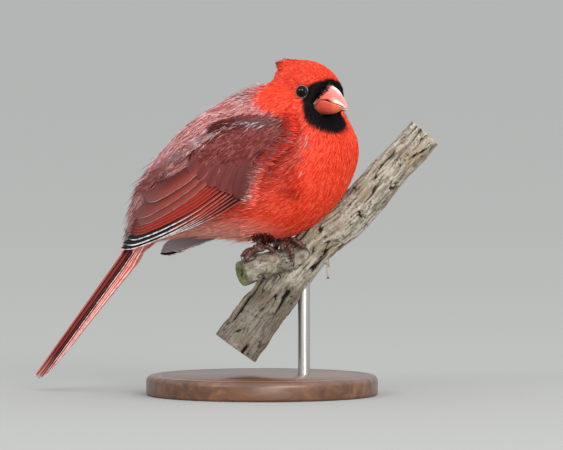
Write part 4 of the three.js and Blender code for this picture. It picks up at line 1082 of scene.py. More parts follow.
def arm_coat(side, label):
    """Small close feathers of the arm, down over the bases of the coverts."""
    me = make_mesh(f"arm_{label}", *arm_shape(side))
    p, n = points_of(me), normals_of(me)
    way = np.array([-0.8, 0.0, -0.6])
    low = smooth(p[:, 2], 126, 118)
    high = smooth(side_line(p, [-20, 122], [24, 136]), -4, 3)
    strokes = 0.25 + 0.75 * np.maximum(high, smooth(noise(p, 5, 3), 0, 0.5))
    edge = np.interp(p[:, 0], [-27, -12, 0, 10, 18, 26], [119, 120, 121.5, 123, 123, 126])
    put(me, marks=four(0, 0.75 * high, 0, strokes), lie=unit(way - (n @ way)[:, None] * n), out=n,
        size=np.stack([6.4 + 3 * low, 1 + 0.2 * low, 0.8 + 0.5 * low], -1) * MM, unwrap=unwrap(p),
        loose=0.25 + 0.4 * low, dense=1.0 * ((n[:, 1] * side > 0.1) & (p[:, 2] > edge)),
        part=np.zeros(len(p), int))
    grow_coat(f"coat_arm_{label}", me, MAROON, "wing_feathers", Tufts=BODY_TUFTS, Spacing=0.95 * STEP * MM,
              Part=0, Seed=70 + side)
    place(f"arm_{label}", turned(me), ARM_DOWN)


def laid_over(name, side, count, line, way, length, off, finish, seed):
    """Plumes of the body rooted along a side-view line, lying over the wing beside it."""
    rng = np.random.default_rng(seed)
    at = curve(line, rng.random(count)) + rng.normal(0, 1.2, (count, 2))
    angle = math.atan2(way[1], way[0]) + rng.normal(0, 0.16, count)
    reach = rng.uniform(*length, count)

    def over(share):
        x, z = at[:, 0] + np.cos(angle) * reach * share, at[:, 1] + np.sin(angle) * reach * share
        return on_bed(*folded(x, z, side), mix(off[0], off[1], share) * np.ones(count)) * [1, side, 1]

    roots, tips = over(0), over(1)
    bend = over(0.4) - mix(roots, tips, 0.4) + 0.3 * unit(tips * [0, 1, 0])
    plumes(name, roots, tips, 0.3, finish, bend, seed)


# Body plumes over the wing: root line in the side view, way, lengths, lift at root and tip, finish and count
LAID = [
    ("scapular", [[-12, 134.5], [-4, 138], [4, 139.5], [12, 140], [24, 139.5]],
     (-0.85, -0.5), (5, 10), (0.8, 2.9), MAROON, 340),
    ("silver_scapular", [[-31, 121], [-19, 130], [-9, 135], [0, 137], [8, 138], [14, 137]],
     (-0.85, -0.5), (6, 10), (1.2, 3.0), SILVER, 45),
    ("back_edge", [[-55, 103], [-46, 111], [-38, 117], [-30, 123], [-19, 130], [-9, 136]],
     (-0.8, -0.6), (5, 9), (0.6, 2.4), SILVER, 480),
    ("flank", [[27, 141], [29.5, 135], [27, 127], [20.5, 121], [14.5, 115], [11, 107], [8.5, 96]],
     (-0.97, -0.05), (4, 8), (0.2, 2.3), SCARLET, 620),
    ("silver_flank", [[29, 134], [26, 127], [20, 121.5], [14, 115], [10, 107], [8, 98]],
     (-0.98, 0.1), (4, 8), (0.6, 2.6), SILVER, 110),
]
for label, side in SIDES.items():
    wing(side, label)
    arm_coat(side, label)
    for number, (name, *how, count) in enumerate(LAID):
        laid_over(f"coat_{name}_{label}", side, int(count * FEW), *how, 12 + number)


# Tail

TAIL_TIP = ("#c07268", "#e6d2ce")
TAIL_WEBS = [material(f"tail_{name}_web", hooked_web, *given) for name, *given in [
    ("upper", [(0.0, "#661b15"), (0.35, "#6e1d16"), (0.5, "#8a2c23"), (1.0, "#b2483c")], "#7c342c", 0.02,
     (0.84, 0.98, *TAIL_TIP), "#c46a5e"),
    ("covert", [(0.0, "#f08375"), (0.5, "#f4968a"), (1.0, "#f08375")], "#f6cdc7", 0.1, None, "#f08375"),
    # The dark web is painted shadow: the shaded gap between the upper and the lower tail feathers
    ("dark", [(0.0, "#1c0b0a"), (0.5, "#24100e"), (1.0, "#1c0b0a")], "#f6eae6", 0.1, (0.84, 0.98, *TAIL_TIP),
     "#c46a5e"),
    ("lower", [(0.0, "#d4675a"), (0.3, "#dc7265"), (0.5, "#c85a4d"), (1.0, "#b84c40")], "#f4d0c8", 0.07,
     (0.88, 1.0, "#d8958b", "#ecdad6"), "#d0766a"),
]]
TAIL_PAIRS = [  # from the middle out: the web's number, how high the pair lies and how its edge curls down
    # The third pair takes the dark web, as painted shadow between the upper and lower pairs
    (0, 2.2, 0), (0, 0.4, 0), (2, -0.5, 0), (3, -1.3, 0.012), (3, -1.6, 0.04), (3, -1.9, 0.085),
]
TAIL_COVERTS = [  # above, then below: how many, spread, length, height, which way they stand, and their slope
    (5, 5.5, 26, 3.6, 1, -1.5), (7, 6, 25, -10.6, -1, 7),
]


def tail_feather(side, length, inner, outer, depth, curl, s, a):
    """A tail feather's middle surface and normal, its web from inner to outer across the tail."""
    spread = np.where(s < 0.25, mix(0.7, 1, s / 0.25), mix(1, TAIL_NARROWS, (s - 0.25) / 0.75))
    reach = spread * ((inner + outer) / 2 - a * (outer - inner) * vane_width(s, 0.93, 1.0) / 2)
    shaft = 0.12 * bell(a, 0, 0.1) * (1 - 0.6 * s)
    frayed = 0.6 * noise(np.stack([reach, 0 * s + 7 * depth, 0 * s], -1), 0.5, 5) * smooth(s, 0.9, 1)
    z = depth - TAIL_ROOF * np.abs(reach) + 0.12 * (1 - a**2) + shaft - curl * np.maximum(0, reach - 4) ** 2
    n = np.stack([0 * s, side * TAIL_ROOF * np.sign(reach), 1 + 0 * s], -1)
    return np.stack([-length * s - frayed, side * reach, z], -1), unit(n)


def tail_covert(share, spread, length, high, rise, slope, step, s, a):
    """A covert's middle surface and normal. share is its place across the tail, from -1 to 1."""
    y = spread * share * (1 - 0.2 * s) + a * 2.8 * vane_width(s, 0.55)
    off = rise * (step - 0.06 * y * y) * 0.9 + slope * s
    reach = length * (1 - 0.25 * abs(share))
    return np.stack([4 - reach * s, y, high + off + 0.15 * (1 - a**2)], -1), [0, 0, 1.0] + 0 * s[..., None]


tail = []
for pair, (kind, depth, curl) in enumerate(TAIL_PAIRS):
    for side in (1, -1):
        inner, lower = (-2.5, 0.9 * (side < 0)) if pair == 0 else (0.25, 0)
        shape = partial(tail_feather, side, TAIL_LENGTH - TAIL_SHORTER[pair], inner, TAIL_WIDTHS[pair],
                        depth - lower, curl)
        tail.append(vane(len(tail), kind, 46, 13, shape, 0.26))
for count, *lay in TAIL_COVERTS:
    for i in range(count):
        shape = partial(tail_covert, 2 * i / (count - 1) - 1, *lay, 0.7 * (i % 2))
        tail.append(vane(len(tail), 1, 20, 9, shape, 0.25))
vanes_piece("vanes_tail", tail, tail_to_bird, TAIL_WEBS, "tail")


# Bill

def bill_half(outer, side, around=44, along=56):
    """One half of the bill, from its outer line to the cutting edge, with angles 0 on the outer line."""
    t, a = np.linspace(0.01, 0.99, along), circle(around)
    (outer_x, outer_z), (seam_x, seam_z) = (curve(line, t).T[..., None] for line in (outer, CUTTING_EDGE))
    up, across = np.cos(a)[None], np.sin(a)[None]
    seam_z = seam_z + side * (GAP / 2 + 0.5 * bell(seam_x, MOUTH_OPENS_AT, 1.5) * (side > 0))
    x = mix(seam_x, outer_x, np.maximum(0, up))
    z = np.where(up > 0, mix(seam_z, outer_z, up), seam_z + side * 0.35 * np.abs(up))
    roof = mix(1 - np.abs(up), np.abs(across), 0.5 if side > 0 else 0.9)
    return np.stack([x, curve(BILL_HALF, t)[:, None] * np.sign(across) * roof, z], -1)


def waxy_horn(node, stops, low_rim):
    """Bill horn is a waxy keratin sheath, reddened by carotenoid, a little clear at its rims. The eye sees
    coral with soft depth, whitened where seeds wear the cutting edge, tan at the rim of bare skin. A painted
    highlight whitens the ridge, and painted shade darkens the nostril and the gape."""
    at, look = node("TexCoord"), node("Attribute", attribute_name="horn")
    share = node("SeparateColor", {0: (look, "Color")})
    mottle, scratch = (
        node("TexNoise", {
            "Vector": (at, "Object"), "Scale": 1 / (size * MM), "Detail": detail, "Roughness": rough})
        for size, detail, rough in [(2.5, 5.0, 0.6), (0.6, 3.0, 0.5)])
    spread = node("Math", {0: mottle, 1: 0.5, 2: -0.25}, operation="MULTIPLY_ADD")
    tone = node("Math", {0: (share, "Red"), 1: spread}, operation="ADD")
    colour = node("ValToRGB", {"Fac": tone}, stops=stops)
    flakes = node("MapRange", {"Value": mottle, "From Min": 0.4, "From Max": 0.6, "To Min": 0.6})
    worn = node("Math", {0: (share, "Green"), 1: flakes}, operation="MULTIPLY")
    # The green share whitens the worn cutting edge, and the ridge as a painted highlight. The blue share is
    # painted shade in the nostril and the gape
    for part, over in (worn, "#e6ddd6"), ((look, "Alpha"), low_rim), ((share, "Blue"), "#3c2a30"):
        colour = node("Mix", {"Factor": part, "A": colour, "B": over}, data_type="RGBA")
    bump = node("Bump", {"Height": scratch, "Strength": 0.3, "Distance": 0.12 * MM})
    return {"Base Color": colour, "Roughness": 0.4, "Specular IOR Level": 0.45, "Subsurface Weight": 0.15,
            "Subsurface Radius": (1.6 * MM, 0.7 * MM, 0.5 * MM), "Subsurface Scale": 1.0, "Normal": bump}


CORAL = material("coral_keratin", waxy_horn,
                 [(0.0, "#d85846"), (0.4, "#e46c5e"), (0.75, "#ea827a"), (1.0, "#ee9690")], "#c9b093")
ORANGE = material("orange_keratin", waxy_horn,
                  [(0.0, "#cc4f44"), (0.45, "#dc5a44"), (0.8, "#ee7a4c"), (1.0, "#f08c64")], "#bfa58a")
for label, outer, side, horn in (("upper", CULMEN, 1, CORAL), ("lower", GONYS, -1, ORANGE)):
    p, f = loft(bill_half(outer, side))
    x, y, z = p.T
    d = (p * [1, 0, 1] + np.abs(p) * [0, 1, 0] - NOSTRIL_AT) / [1.2, 1.9, 0.75]
    # The nostril's hollow: sunk into the sheath below, and painted dark as painted shade
    shaded_pit = smooth(np.linalg.norm(d, axis=1), 1.2, 0.5)
    cut, ridge = (np.interp(x, *np.array(line).T) for line in (CUTTING_EDGE, outer))
    rise = np.clip((z - cut) / (ridge - cut + 1e-6), 0, 1)
    # Growth ridges along the sheath, and a shallow groove above the cutting edge
    y *= 1 - 0.05 * bell(rise, 0.3, 0.12) * (side > 0) - 0.02 * np.sin(rise * 22)
    y -= np.sign(y) * shaded_pit * 0.7
    if side > 0:
        # Painted shade in the gape, where the mouth opens
        shaded_pit = np.maximum(shaded_pit, smooth(rise, 0.06, 0.0) * smooth(np.abs(x - MOUTH_OPENS_AT), 2.6, 1.0))
        worn = smooth(x, 24, 28) * smooth(rise, 0.5, 0.3)
        # A painted highlight along the ridge, laid in the worn colour
        worn += 0.8 * smooth(rise, 0.86, 1) * smooth(x, 21, 24) * smooth(x, 30, 27)
        tone = 0.15 + 0.7 * rise
    else:
        worn = 0.5 * smooth(x, 28, 31)
        tone = smooth(x, 17, 30) * 0.7 + 0.15 * rise
    rim = smooth(x - np.interp(z, FACE_Z, FACE_X) + 0.3 * noise(p, 0.8, 3), 1.0, 0.2) * smooth(z, -0.5, -2)
    me = make_mesh(f"horn_{label}", head_to_root(p), f, horn=four(tone, np.clip(worn, 0, 1), shaded_pit, rim))
    place(f"horn_{label}", me, horn, [f"bill_{label}"])


def black_shafts(node):
    """Rictal bristles are bare black shafts, stiff as hairs. The eye sees a thin dark fringe over the base of
    the bill."""
    return {"Base Color": "#0c0a0a", "Roughness": 0.45, "Specular IOR Level": 0.3}


# Bristles stand in the rim of the face on the bill's sides, and in a ring round its base
ON_RIM, IN_RING, RING_AT = 900, 160, [0, 0, -1.4]
rng = np.random.default_rng(11)
base = bill_half(CULMEN, 1, 160, 200).reshape(-1, 3)
short = np.interp(base[:, 2], FACE_Z, FACE_X) - base[:, 0]
base = base[(short > 0.9) & (short < 5.5) & (base[:, 2] > -1.6)]
roots = base[rng.choice(len(base), ON_RIM, replace=False)]
away = unit(roots * [0, 1, 0] + [0, 0, 0.6])
aim = unit([1, 0, -0.28] + 0.14 * away + rng.normal(0, 0.14, (ON_RIM, 3)))
tips = roots + aim * rng.uniform(1.1, 2.3, (ON_RIM, 1)) + 0.25 * away
angle = rng.uniform(-1, 1, IN_RING) * 1.5
ring = [16.8 + rng.normal(0, 0.5, IN_RING), 5.6 * np.sin(angle), 7.6 * np.cos(angle) + RING_AT[2]]
ring = np.stack(ring, -1)
out = unit(ring * [0, 1, 1] - RING_AT)
reach = unit([1, 0, -0.3] + 0.25 * out + rng.normal(0, 0.2, (IN_RING, 3)))
reach *= rng.uniform(1.5, 3.4, (IN_RING, 1))
roots, tips = np.vstack([roots - 0.4 * away, ring - 0.5 * out]), np.vstack([tips, ring + reach])
wide = np.repeat([0.2, 0.1], [ON_RIM, IN_RING])
place("bristles", make_mesh("bristles", *spikes(head_to_root(roots), head_to_root(tips), wide)),
      material("black_bristles", black_shafts))


# Eyes and lids

def wet_cornea(node):
    """A wet cornea over an iris of the darkest brown. The eye sees one black bead with small soft lights."""
    gaze = node("Attribute", attribute_name="gaze")
    iris = node("ValToRGB", {"Fac": (gaze, "Fac")}, stops=[
        (0.0, "#020202"), (0.3, "#030202"), (0.36, "#120a07"), (0.6, "#0a0605"), (1.0, "#030202")])
    return {"Base Color": iris, "Roughness": 0.06, "Specular IOR Level": 0.12}


def beaded_skin(node):
    """The lid is bare beaded skin: a thin pale-grey rim round a dark inner fold, its dark skin darkened
    further as painted shade of the fold.
    """
    at, rim = node("TexCoord"), node("Attribute", attribute_name="rim")
    beads = node("TexVoronoi", {"Vector": (at, "Object"), "Scale": 1 / (0.6 * MM)})
    grey = node("ValToRGB", {"Fac": (beads, "Distance")}, stops=[(0.0, "#beb6b4"), (0.8, "#7c7573")])
    # The inner fold's near black is dark skin plus painted shade
    colour = node("Mix", {"Factor": (rim, "Fac"), "A": "#0d0b0b", "B": grey}, data_type="RGBA")
    bump = node("Bump", {"Height": (beads, "Distance"), "Strength": 0.4, "Distance": 0.15 * MM})
    return {"Base Color": colour, "Roughness": 0.5, "Normal": bump, "Specular IOR Level": 0.3}


EYE, LID = material("wet_eye", wet_cornea), material("bare_lid_skin", beaded_skin)
EYEBALLS = bpy.data.collections.new("eyeballs")
LID_OUT, LID_HIGH = np.array([  # the lid's section: how far each point lies from the eye's axis, and along it
    [2.44, 3.2], [2.5, 3.4], [2.78, 3.32], [3.04, 3.2], [3.18, 3.18], [3.27, 3.28], [3.36, 3.2], [3.46, 3.0],
    [3.54, 2.58], [3.48, 2.2], [3.08, 2.3], [2.74, 2.82],
]).T
LID_STEPS, LID_BEADS = 96, 22


def facing(out):
    """Axes with the third along out."""
    out = unit(np.array(out, float))
    side = unit(np.cross([0, 0, 1], out))
    return np.stack([side, np.cross(out, side), out])


for label, side in SIDES.items():
    axes, centre = facing(np.array(EYE_OUT) * [1, side, 1]), np.array(EYE_AT) * [1, side, 1]
    polar, a = np.meshgrid(np.linspace(0.01, math.pi - 0.01, 40), circle(56), indexing="ij")
    ball = np.stack([np.sin(polar) * np.cos(a), np.sin(polar) * np.sin(a), np.cos(polar)], -1) * EYE_RADIUS
    p, f = loft(ball @ axes + centre)
    gaze = np.clip(np.arccos(np.clip(unit(p - centre) @ axes[2], -1, 1)) / 0.95, 0, 1)
    me = make_mesh(f"eyeball_{label}", head_to_root(p), f, gaze=gaze)
    EYEBALLS.objects.link(place(f"eyeball_{label}", me, EYE, [f"eye_{label}"]))
    a = circle(LID_STEPS)[:, None]
    r = LID_OUT * (1 + 0.012 * np.sin(a * LID_BEADS) * (LID_OUT > 2.9))
    ring = np.stack([r * np.cos(a) * 1.07, r * np.sin(a) * 0.95, LID_HIGH + 0 * a], -1)
    points = (ring @ axes + centre).reshape(-1, 3)
    faces = outward(points - points.mean(0), grid(LID_STEPS, len(LID_OUT), rows_close=True))[1]
    rim = np.tile(smooth(LID_OUT, 3.18, 3.25) * smooth(LID_HIGH, 3.0, 3.2), LID_STEPS)
    place(f"lid_{label}", make_mesh(f"lid_{label}", head_to_root(points), faces, rim=rim), LID)


# Legs, feet and claws

def foot_paths(radius, at, up, toes):
    """The middle lines of a foot's palm, toes and claws, laid round the stub."""
    middle, axis = (v[0] for v in even(STUB_LINE, [at]))
    rise = unit(np.array(up, float) - np.dot(up, axis) * axis)
    front = np.cross(axis, rise)
    front = -front if front[1] > 0 else front
    path = radius + TOE_RADIUS + GAP + 0.1

    def around(along, angle, r):
        a = math.radians(angle)
        return middle + axis * along + rise * r * math.cos(a) + front * r * math.sin(a)

    palm, made = [around(0, 0, path - 0.8), around(0, 0, path + PALM_HIGH)], []
    for start, end, angle, size in toes:
        toe = [around(mix(start, end, s), angle * s, path + TOE_ARCH * math.sin(math.pi * s))
               for s in (0, 0.33, 0.66, 1)]
        sign, sweep = math.copysign(1, angle), math.degrees(CLAW_REACH / path)
        nail = [around(end + (end - start) * 0.3 * s, angle + sign * (sweep * s - 7),
                       path + 0.2 + 1.3 * math.sin(math.pi * s * 0.8) - 0.7 * s) for s in (0, 0.5, 1)]
        made.append((toe, nail, size))
    return palm, made, around(0, 0, path + 1.5), rise


def scuted_skin(node):
    """Scutes are thin horn plates over dark skin, overlapping like tiles. The eye sees a dull red-brown toe
    with paler waxy rims across it and yellow horn showing where the plates are thickest."""
    at, look = node("TexCoord"), node("Attribute", attribute_name="scute")
    look = node("SeparateColor", {0: (look, "Color")})
    mottle = node("TexNoise", {"Vector": (at, "Object"), "Scale": 1 / (1.2 * MM), "Detail": 3.0})
    colour = node("ValToRGB", {"Fac": mottle}, stops=[(0.3, "#220d0c"), (0.55, "#3a1815"), (0.8, "#5c2c25")])
    rims = node("Math", {0: (look, "Red"), 1: 0.6}, operation="MULTIPLY")
    horn = node("MapRange", {"Value": mottle, "From Min": 0.58, "From Max": 0.68})
    horn = node("Math", {0: horn, 1: (look, "Green")}, operation="MULTIPLY")
    for part, over in (rims, "#7c4c40"), (horn, "#b59a62"):
        colour = node("Mix", {"Factor": part, "A": colour, "B": over}, data_type="RGBA")
    return {"Base Color": colour, "Roughness": 0.36, "Specular IOR Level": 0.45}


def streaked_horn(node):
    """Claw horn is dense and smooth, with faint streaks from root to point."""
    at = node("TexCoord")
    streak = node("TexNoise", {"Vector": (at, "Object"), "Scale": 1 / (1.8 * MM), "Detail": 2.0})
    colour = node("ValToRGB", {"Fac": streak}, stops=[(0.3, "#2a2324"), (0.7, "#5c5253")])
    return {"Base Color": colour, "Roughness": 0.24}


def scuted(line, size, up, rows):
    """A toe or shank with overlapping scutes on its upper side and pads below."""
    around, along = 22, rows * 7

    def radius(t, a):
        top = smooth(np.cos(a), -0.2, 0.6)
        pads = (1 - top) * 0.12 * np.cos(t * 6 * math.pi) ** 2
        return size * (1 + top * (0.15 * (1 - (t * rows) % 1) ** 2 - 0.03) + pads)

    p, f = limb(line, radius, around, along, up=up)
    t = np.r_[np.repeat(np.linspace(0, 1, along), around), 0, 1]
    return p, f, four((1 - (t * rows) % 1) ** 3, 0.8 * smooth(t, 0.9, 0.3))


SCUTES, CLAW = material("scuted_skin", scuted_skin), material("claw_keratin", streaked_horn)
for label, side in SIDES.items():
    palm, toes, top, rise = foot_paths(*FEET[label])
    parts = [scuted(toe, TOE_RADIUS * size, rise, 9) for toe, _, size in toes]
    p, f = limb(palm, lambda t, a: PALM_RADIUS * (1 + 0.05 * np.sin(5 * a + 9 * t)), 24, 16, up=(1, 0, 0))
    parts.append((p, f, four(np.full(len(p), 0.2), 0.7)))
    p, f = joined([part[:2] for part in parts])
    me = make_mesh(f"toes_{label}", p, f, scute=np.vstack([part[2] for part in parts]))
    place(f"toes_{label}", me, SCUTES, [f"foot_{label}"])
    hip = bird_to_root([LEG_X, side * LEG_Y, 92])
    p, f, look = scuted([hip, mix(hip, top, 0.5), top], LEG_RADIUS, [0, -1, 0], 12)
    me = make_mesh(f"shank_{label}", p, f, scute=look)
    place(f"shank_{label}", me, SCUTES, [f"leg_{label}"])
    for (_, nail, size), which in zip(toes, ("inner", "middle", "outer", "hind")):
        name = f"claw_horn_{label}_{which}"
        p, f = limb(nail, lambda t, a: mix(CLAW_RADIUS, 0.12, t**0.8) * size * (1 - 0.12 * np.cos(a)), 20, 26,
                    up=rise)
        place(name, make_mesh(name, p, f), CLAW, [f"claw_{label}_{which}"])


# Perch

def weathered_bark(node):
    """Dead bark weathers from the outside in: grey flakes on the ridges, tan bare wood where it has shed,
    grey-green lichen in the damp, moss on the sawn face. Its fissures are painted black as painted shade, and
    the eye reads it by these deep dark cracks."""
    at, look = node("TexCoord"), node("Attribute", attribute_name="bark")
    share = node("SeparateColor", {0: (look, "Color")})
    fine, patch, lichen = (
        node("TexNoise", {
            "Vector": (at, "Object"), "Scale": 1 / (size * MM), "Detail": detail, "Roughness": rough})
        for size, detail, rough in [(1.3, 6.0, 0.7), (14, 4.0, 0.5), (8, 5.0, 0.65)])
    half = node("Math", {0: (share, "Red"), 1: 0.5}, operation="MULTIPLY")
    tone = node("Math", {0: fine, 1: 0.5, 2: half}, operation="MULTIPLY_ADD")
    colour = node("ValToRGB", {"Fac": tone}, stops=[
        (0.14, "#1c1814"), (0.42, "#544d43"), (0.64, "#877f72"), (0.88, "#c6bfb2")])
    shed = node("MapRange", {"Value": patch, "From Min": 0.52, "From Max": 0.62, "To Max": 0.5})
    damp = node("MapRange", {"Value": lichen, "From Min": 0.54, "From Max": 0.64, "To Max": 0.7})
    # Painted shade: the cracks are painted near black
    deep = node("MapRange", {"Value": (share, "Red"), "From Max": 0.4, "To Min": 0.97, "To Max": 0.0})
    moss = node("ValToRGB", {"Fac": fine}, stops=[(0.3, "#3f4520"), (0.5, "#848a54"), (0.7, "#bdb994")])
    wood = node("ValToRGB", {"Fac": fine}, stops=[(0.3, "#8a7355"), (0.7, "#cdb997")])
    # The alpha share is the painted shade on the branch's low side and on the stub
    for part, over in [(shed, "#9a8468"), (damp, "#8c9174"), ((share, "Blue"), wood),
                       ((share, "Green"), moss), ((look, "Alpha"), "#4c443c"), (deep, "#0f0c0a")]:
        colour = node("Mix", {"Factor": part, "A": colour, "B": over}, data_type="RGBA")
    bump = node("Bump", {"Height": fine, "Strength": 0.9, "Distance": 0.6 * MM})
    return {"Base Color": colour, "Roughness": 0.9, "Specular IOR Level": 0.15, "Normal": bump}


def near_line(p, line, samples=160):
    """For each point: how far along the line its nearest place is, the distance, and the angle round it."""
    at, ahead = even(line, np.linspace(0, 1, samples))
    n, b = carried(ahead, np.array([0.0, -1.0, 0.0]))
    best = np.full(len(p), 1e9)
    pick = np.zeros(len(p), int)
    for k in range(samples):
        d = ((p - at[k]) ** 2).sum(1)
        closer = d < best
        best[closer], pick[closer] = d[closer], k
    off = p - at[pick]
    angle = np.arctan2((off * b[pick]).sum(1), (off * n[pick]).sum(1))
    length = np.linalg.norm(np.diff(at, axis=0), axis=1).sum()
    return pick / (samples - 1) * length, np.sqrt(best), angle


def branch_radius(t, a):
    return curve(BRANCH_RADII, t) * (1 + 0.035 * np.sin(3 * a + 7 * t) + 0.025 * np.sin(7 * a - 11 * t))


def stub_radius(t, a):
    """The stub's, with the callus ring behind its sawn face."""
    return curve(STUB_RADII, t) * (1 + 0.04 * np.sin(2 * a + 5 * t) + 0.1 * bell(t, 0.72, 0.05))


def perch():
    """The branch with its stub and a twig, as one skin with fissures, plates and a shed sliver."""
    branch = limb(BRANCH_LINE, branch_radius, 64, 80, up=(0, -1, 0), sawn=True)
    stub = limb(STUB_LINE, stub_radius, 48, 60, up=(0, -1, 0), sawn=True)
    twig = limb(TWIG_LINE, lambda t, a: mix(1.4, 0.7, t) + 0 * a, 14, 16)
    me = skinned("bark", [branch, stub, twig], 0.5, 1)
    p, n = points_of(me), normals_of(me)
    along, far, angle = near_line(p, BRANCH_LINE)
    along_stub, far_stub, angle_stub = near_line(p, STUB_LINE)
    on_stub = far_stub / STUB_MEAN < far / BRANCH_MEAN
    u = np.where(on_stub, along_stub, along)
    v = np.where(on_stub, angle_stub * STUB_MEAN, angle * BRANCH_MEAN)

    # Bark rolled out flat, so that its fissures and plates run along the grain
    rolled = np.stack([np.where(on_stub, 9, 0) + v, u * 0.16, np.where(on_stub, 50.0, 0)], -1)
    warped = rolled + np.stack([0.9 * noise(p, 5, 51), 0 * u, 0 * u], -1)
    ridge, small_ridge = (1 - np.abs(noise(warped * [1, squeeze, 1], size, seed)) * 2
                          for squeeze, size, seed in [(0.7, 2.3, 3), (2.4, 1.15, 8)])
    broad, plates = noise(p, 9, 4), noise(rolled * [1, 3, 1], 2.8, 19)
    crack = smooth(ridge, 0.66, 0.95) * smooth(noise(p, 7, 14), -0.6, 0.2)
    thin = smooth(small_ridge, 0.66, 1.0) * smooth(noise(p, 4, 15), -0.4, 0.3)

    # The sawn ends, and the stub's sawn face, which has split beside its heart
    ends = [np.abs((p - at) @ way) for line in (BRANCH_LINE, STUB_LINE)
            for at, way in zip(*even(line, [0.0, 1.0]))]
    wood_end = np.maximum(smooth(ends[0], 1.0, 0.5), smooth(ends[1], 1.0, 0.5))
    face = smooth(ends[3], 1.4, 0.6) * (far_stub < 8)
    calm = 1 - np.maximum(wood_end, face)
    heart = p - even(STUB_LINE, [1.0])[0][0]
    split = smooth(np.abs(heart[:, 0] - 0.5 * noise(p, 2, 8)), 1.0, 0.3)
    split = split * smooth(np.abs(heart[:, 2]), 3.2, 1.6) * face

    # A pale strip of shed bark down the branch's left edge, with a gap beside it, sunk and painted black as
    # painted shade
    strip = np.abs(angle + 1.25 + 0.004 * along) * BRANCH_MEAN
    strip_on = smooth(along, 8, 16) * smooth(along, 62, 54) * (~on_stub)
    sliver = smooth(strip + 0.5 * noise(p, 3, 77), 1.5, 1.0) * strip_on
    gap = smooth(np.abs(strip - 2.6 + 0.6 * noise(p, 4, 78)), 1.0, 0.5) * strip_on
    low = smooth(p[:, 2], 62, 48) * (~on_stub)
    # The cracks, the gap and the split are sunk, and painted dark as painted shade
    crack = np.maximum.reduce([crack, gap, split])
    fine = noise(rolled, 0.8, 31)
    height = (0.4 * broad - 1.15 * crack - 0.55 * thin + 0.35 * plates + 0.3 * fine) * calm - 0.35
    height = height - 0.9 * split + 0.5 * sliver * calm
    p = p + n * height[:, None]
    grain = fine + 0.6 * noise(rolled * [1, 2, 1], 1.9, 37)
    # whole is low in the cracks and fissures, which the finish paints dark as painted shade
    whole = np.clip(0.92 - crack - 0.6 * thin + 0.15 * broad + 0.34 * grain, 0, 1)
    shade = np.maximum(low * 0.6, on_stub * (0.3 + 0.35 * smooth(noise(p, 3, 61), -0.2, 0.5)))
    put(move(me, p), bark=four(whole, face * 0.9, np.maximum(wood_end, sliver * 0.8), shade))
    return me


place("perch_bark", perch(), material("weathered_bark", weathered_bark), ["perch"])


# Stand

def turned_walnut(node):
    """Turned walnut under satin lacquer: open pores drawn out along the grain, dark in the late wood, with a
    clear coat that gives soft reflections."""
    at = node("TexCoord")
    drawn = node("Mapping", {"Vector": (at, "Object"), "Scale": (1 / (60 * MM), 1 / (5 * MM), 1 / (8 * MM))})
    grain = node("TexNoise", {
        "Vector": drawn, "Scale": 1.0, "Detail": 8.0, "Roughness": 0.6, "Distortion": 0.6})
    colour = node("ValToRGB", {"Fac": grain}, stops=[(0.25, "#2c190f"), (0.5, "#5a3822"), (0.75, "#7d5434")])
    bump = node("Bump", {"Height": grain, "Strength": 0.15, "Distance": 0.3 * MM})
    return {"Base Color": colour, "Roughness": 0.38, "Normal": bump, "Coat Weight": 0.3,
            "Coat Roughness": 0.25}


def drawn_steel(node):
    """Drawn stainless rod: the die leaves hair-fine lines along its length, which smear its reflections."""
    at = node("TexCoord")
    drawn = node("Mapping", {
        "Vector": (at, "Object"), "Scale": (1 / (0.6 * MM), 1 / (0.6 * MM), 1 / (50 * MM))})
    lines = node("TexNoise", {"Vector": drawn, "Scale": 1.0, "Detail": 2.0})
    rough = node("MapRange", {
        "Value": lines, "From Min": 0.3, "From Max": 0.7, "To Min": 0.24, "To Max": 0.4})
    return {"Base Color": "#b9b8b4", "Metallic": 1.0, "Roughness": rough}


def lathe(profile, around=128):
    a = circle(around)
    return loft(np.array([[[r * math.cos(t), r * math.sin(t), z] for t in a] for r, z in profile]))


def rim_curve(size, middle, steps):
    """A quarter circle of the base's rim, from its top to its side, round a middle at this height."""
    t = np.linspace(0, math.pi / 2, steps)
    return np.stack([BASE_RADIUS - size + size * np.sin(t), middle + size * np.cos(t)], -1)


corner = rim_curve(BASE_ROUND, BASE_THICK - BASE_ROUND, 9)
heel = rim_curve(BASE_HEEL, 0, 6)[::-1] * [1, -1] + [0, BASE_HEEL]
groove = [[BASE_RADIUS - 8, BASE_THICK], [BASE_RADIUS - 7.6, BASE_THICK - 0.35],
          [BASE_RADIUS - 7.2, BASE_THICK]]
profile = [[0.01, BASE_THICK], *groove, *corner, *heel, [0.01, 0]]
place("stand_foot", make_mesh("stand_foot", *lathe(profile)), material("turned_walnut", turned_walnut),
      ["stand_base"])
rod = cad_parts["stand_rod"].data
rod.materials.clear()
rod.materials.append(material("drawn_steel", drawn_steel))


# Floor, light and camera

def matt_paper(node):
    """Matt grey paper under the stand. It has no shine, so it stays one even tone behind the bird."""
    return {"Base Color": "#a2a29e", "Roughness": 1.0, "Specular IOR Level": 0.0}


corners = np.array([[-9000, -6500, 0], [9000, -6500, 0], [9000, 30000, 0], [-9000, 30000, 0]], float)
floor = in_scene("floor", make_mesh("floor", corners, np.array([[0, 1, 2], [0, 2, 3]])))
floor.data.materials.append(material("matt_paper", matt_paper))

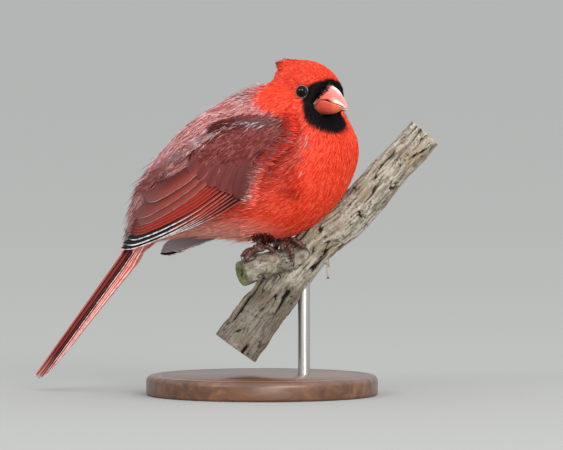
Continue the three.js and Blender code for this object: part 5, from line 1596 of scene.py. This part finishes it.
# A bright overcast sky, brightest overhead and a little to the front
sky = bpy.data.worlds.new("overcast")
sky.use_nodes = True
node = partial(add, sky.node_tree)
way = node("TexCoord")
high = node("VectorMath", {0: (way, "Generated"), 1: (0.25, -0.45, 0.86)}, operation="DOT_PRODUCT")
light = node("MapRange", {"Value": (high, "Value"), "From Min": -0.4, "To Min": 0.55, "To Max": 1.75})
background = sky.node_tree.nodes["Background"]
background.inputs["Color"].default_value = linear("#f4f7fb")
sky.node_tree.links.new(light.outputs["Result"], background.inputs["Strength"])
bpy.context.scene.world = sky
bpy.context.scene.view_settings.view_transform = "Standard"

EYES_ONLY = {"glint", "faint_glint"}  # two small panes that only the eyes reflect
for name, at, size, power, colour in [
    ("key", (0.9, -1.9, 0.95), 1.2, 26, "#fffaf4"), ("fill", (0.3, -2.2, 0.08), 1.0, 20, "#fffaf4"),
    ("side", (-1.7, -1.6, 1.45), 0.8, 12, "#f2f6ff"), ("glint", (-1.3, -1.2, 1.1), 0.3, 22, "#f2f6ff"),
    ("faint_glint", (-1.85, 0.1, 0.9), 0.3, 14, "#f2f6ff"),
]:
    lamp = bpy.data.lights.new(name, "AREA")
    lamp.shape, lamp.size, lamp.energy, lamp.color = "DISK", size, power, linear(colour)[:3]
    thing = in_scene(name, lamp)
    thing.location = at
    thing.rotation_euler = (Vector((0, 0, 0.1)) - Vector(at)).to_track_quat("-Z", "Y").to_euler()
    if name in EYES_ONLY:
        thing.light_linking.receiver_collection = EYEBALLS

# The picture is 563 x 450, at half a millimetre to the pixel, seen level from 4 m
VIEW_RISE, VIEW_DISTANCE, VIEW_WIDTH = math.radians(2.5), 4.0, 0.2815
lens = bpy.data.cameras.new("camera")
lens.sensor_width = 36
lens.lens = 36 * VIEW_DISTANCE / VIEW_WIDTH
lens.clip_end = 60
camera = in_scene("camera", lens)
target = Vector((9.75, 0, 85 / math.cos(VIEW_RISE))) * MM
camera.location = target + Vector((0, -math.cos(VIEW_RISE), math.sin(VIEW_RISE))) * VIEW_DISTANCE
camera.rotation_euler = (math.pi / 2 - VIEW_RISE, 0, 0)
bpy.context.scene.camera = camera

bpy.context.view_layer.update()
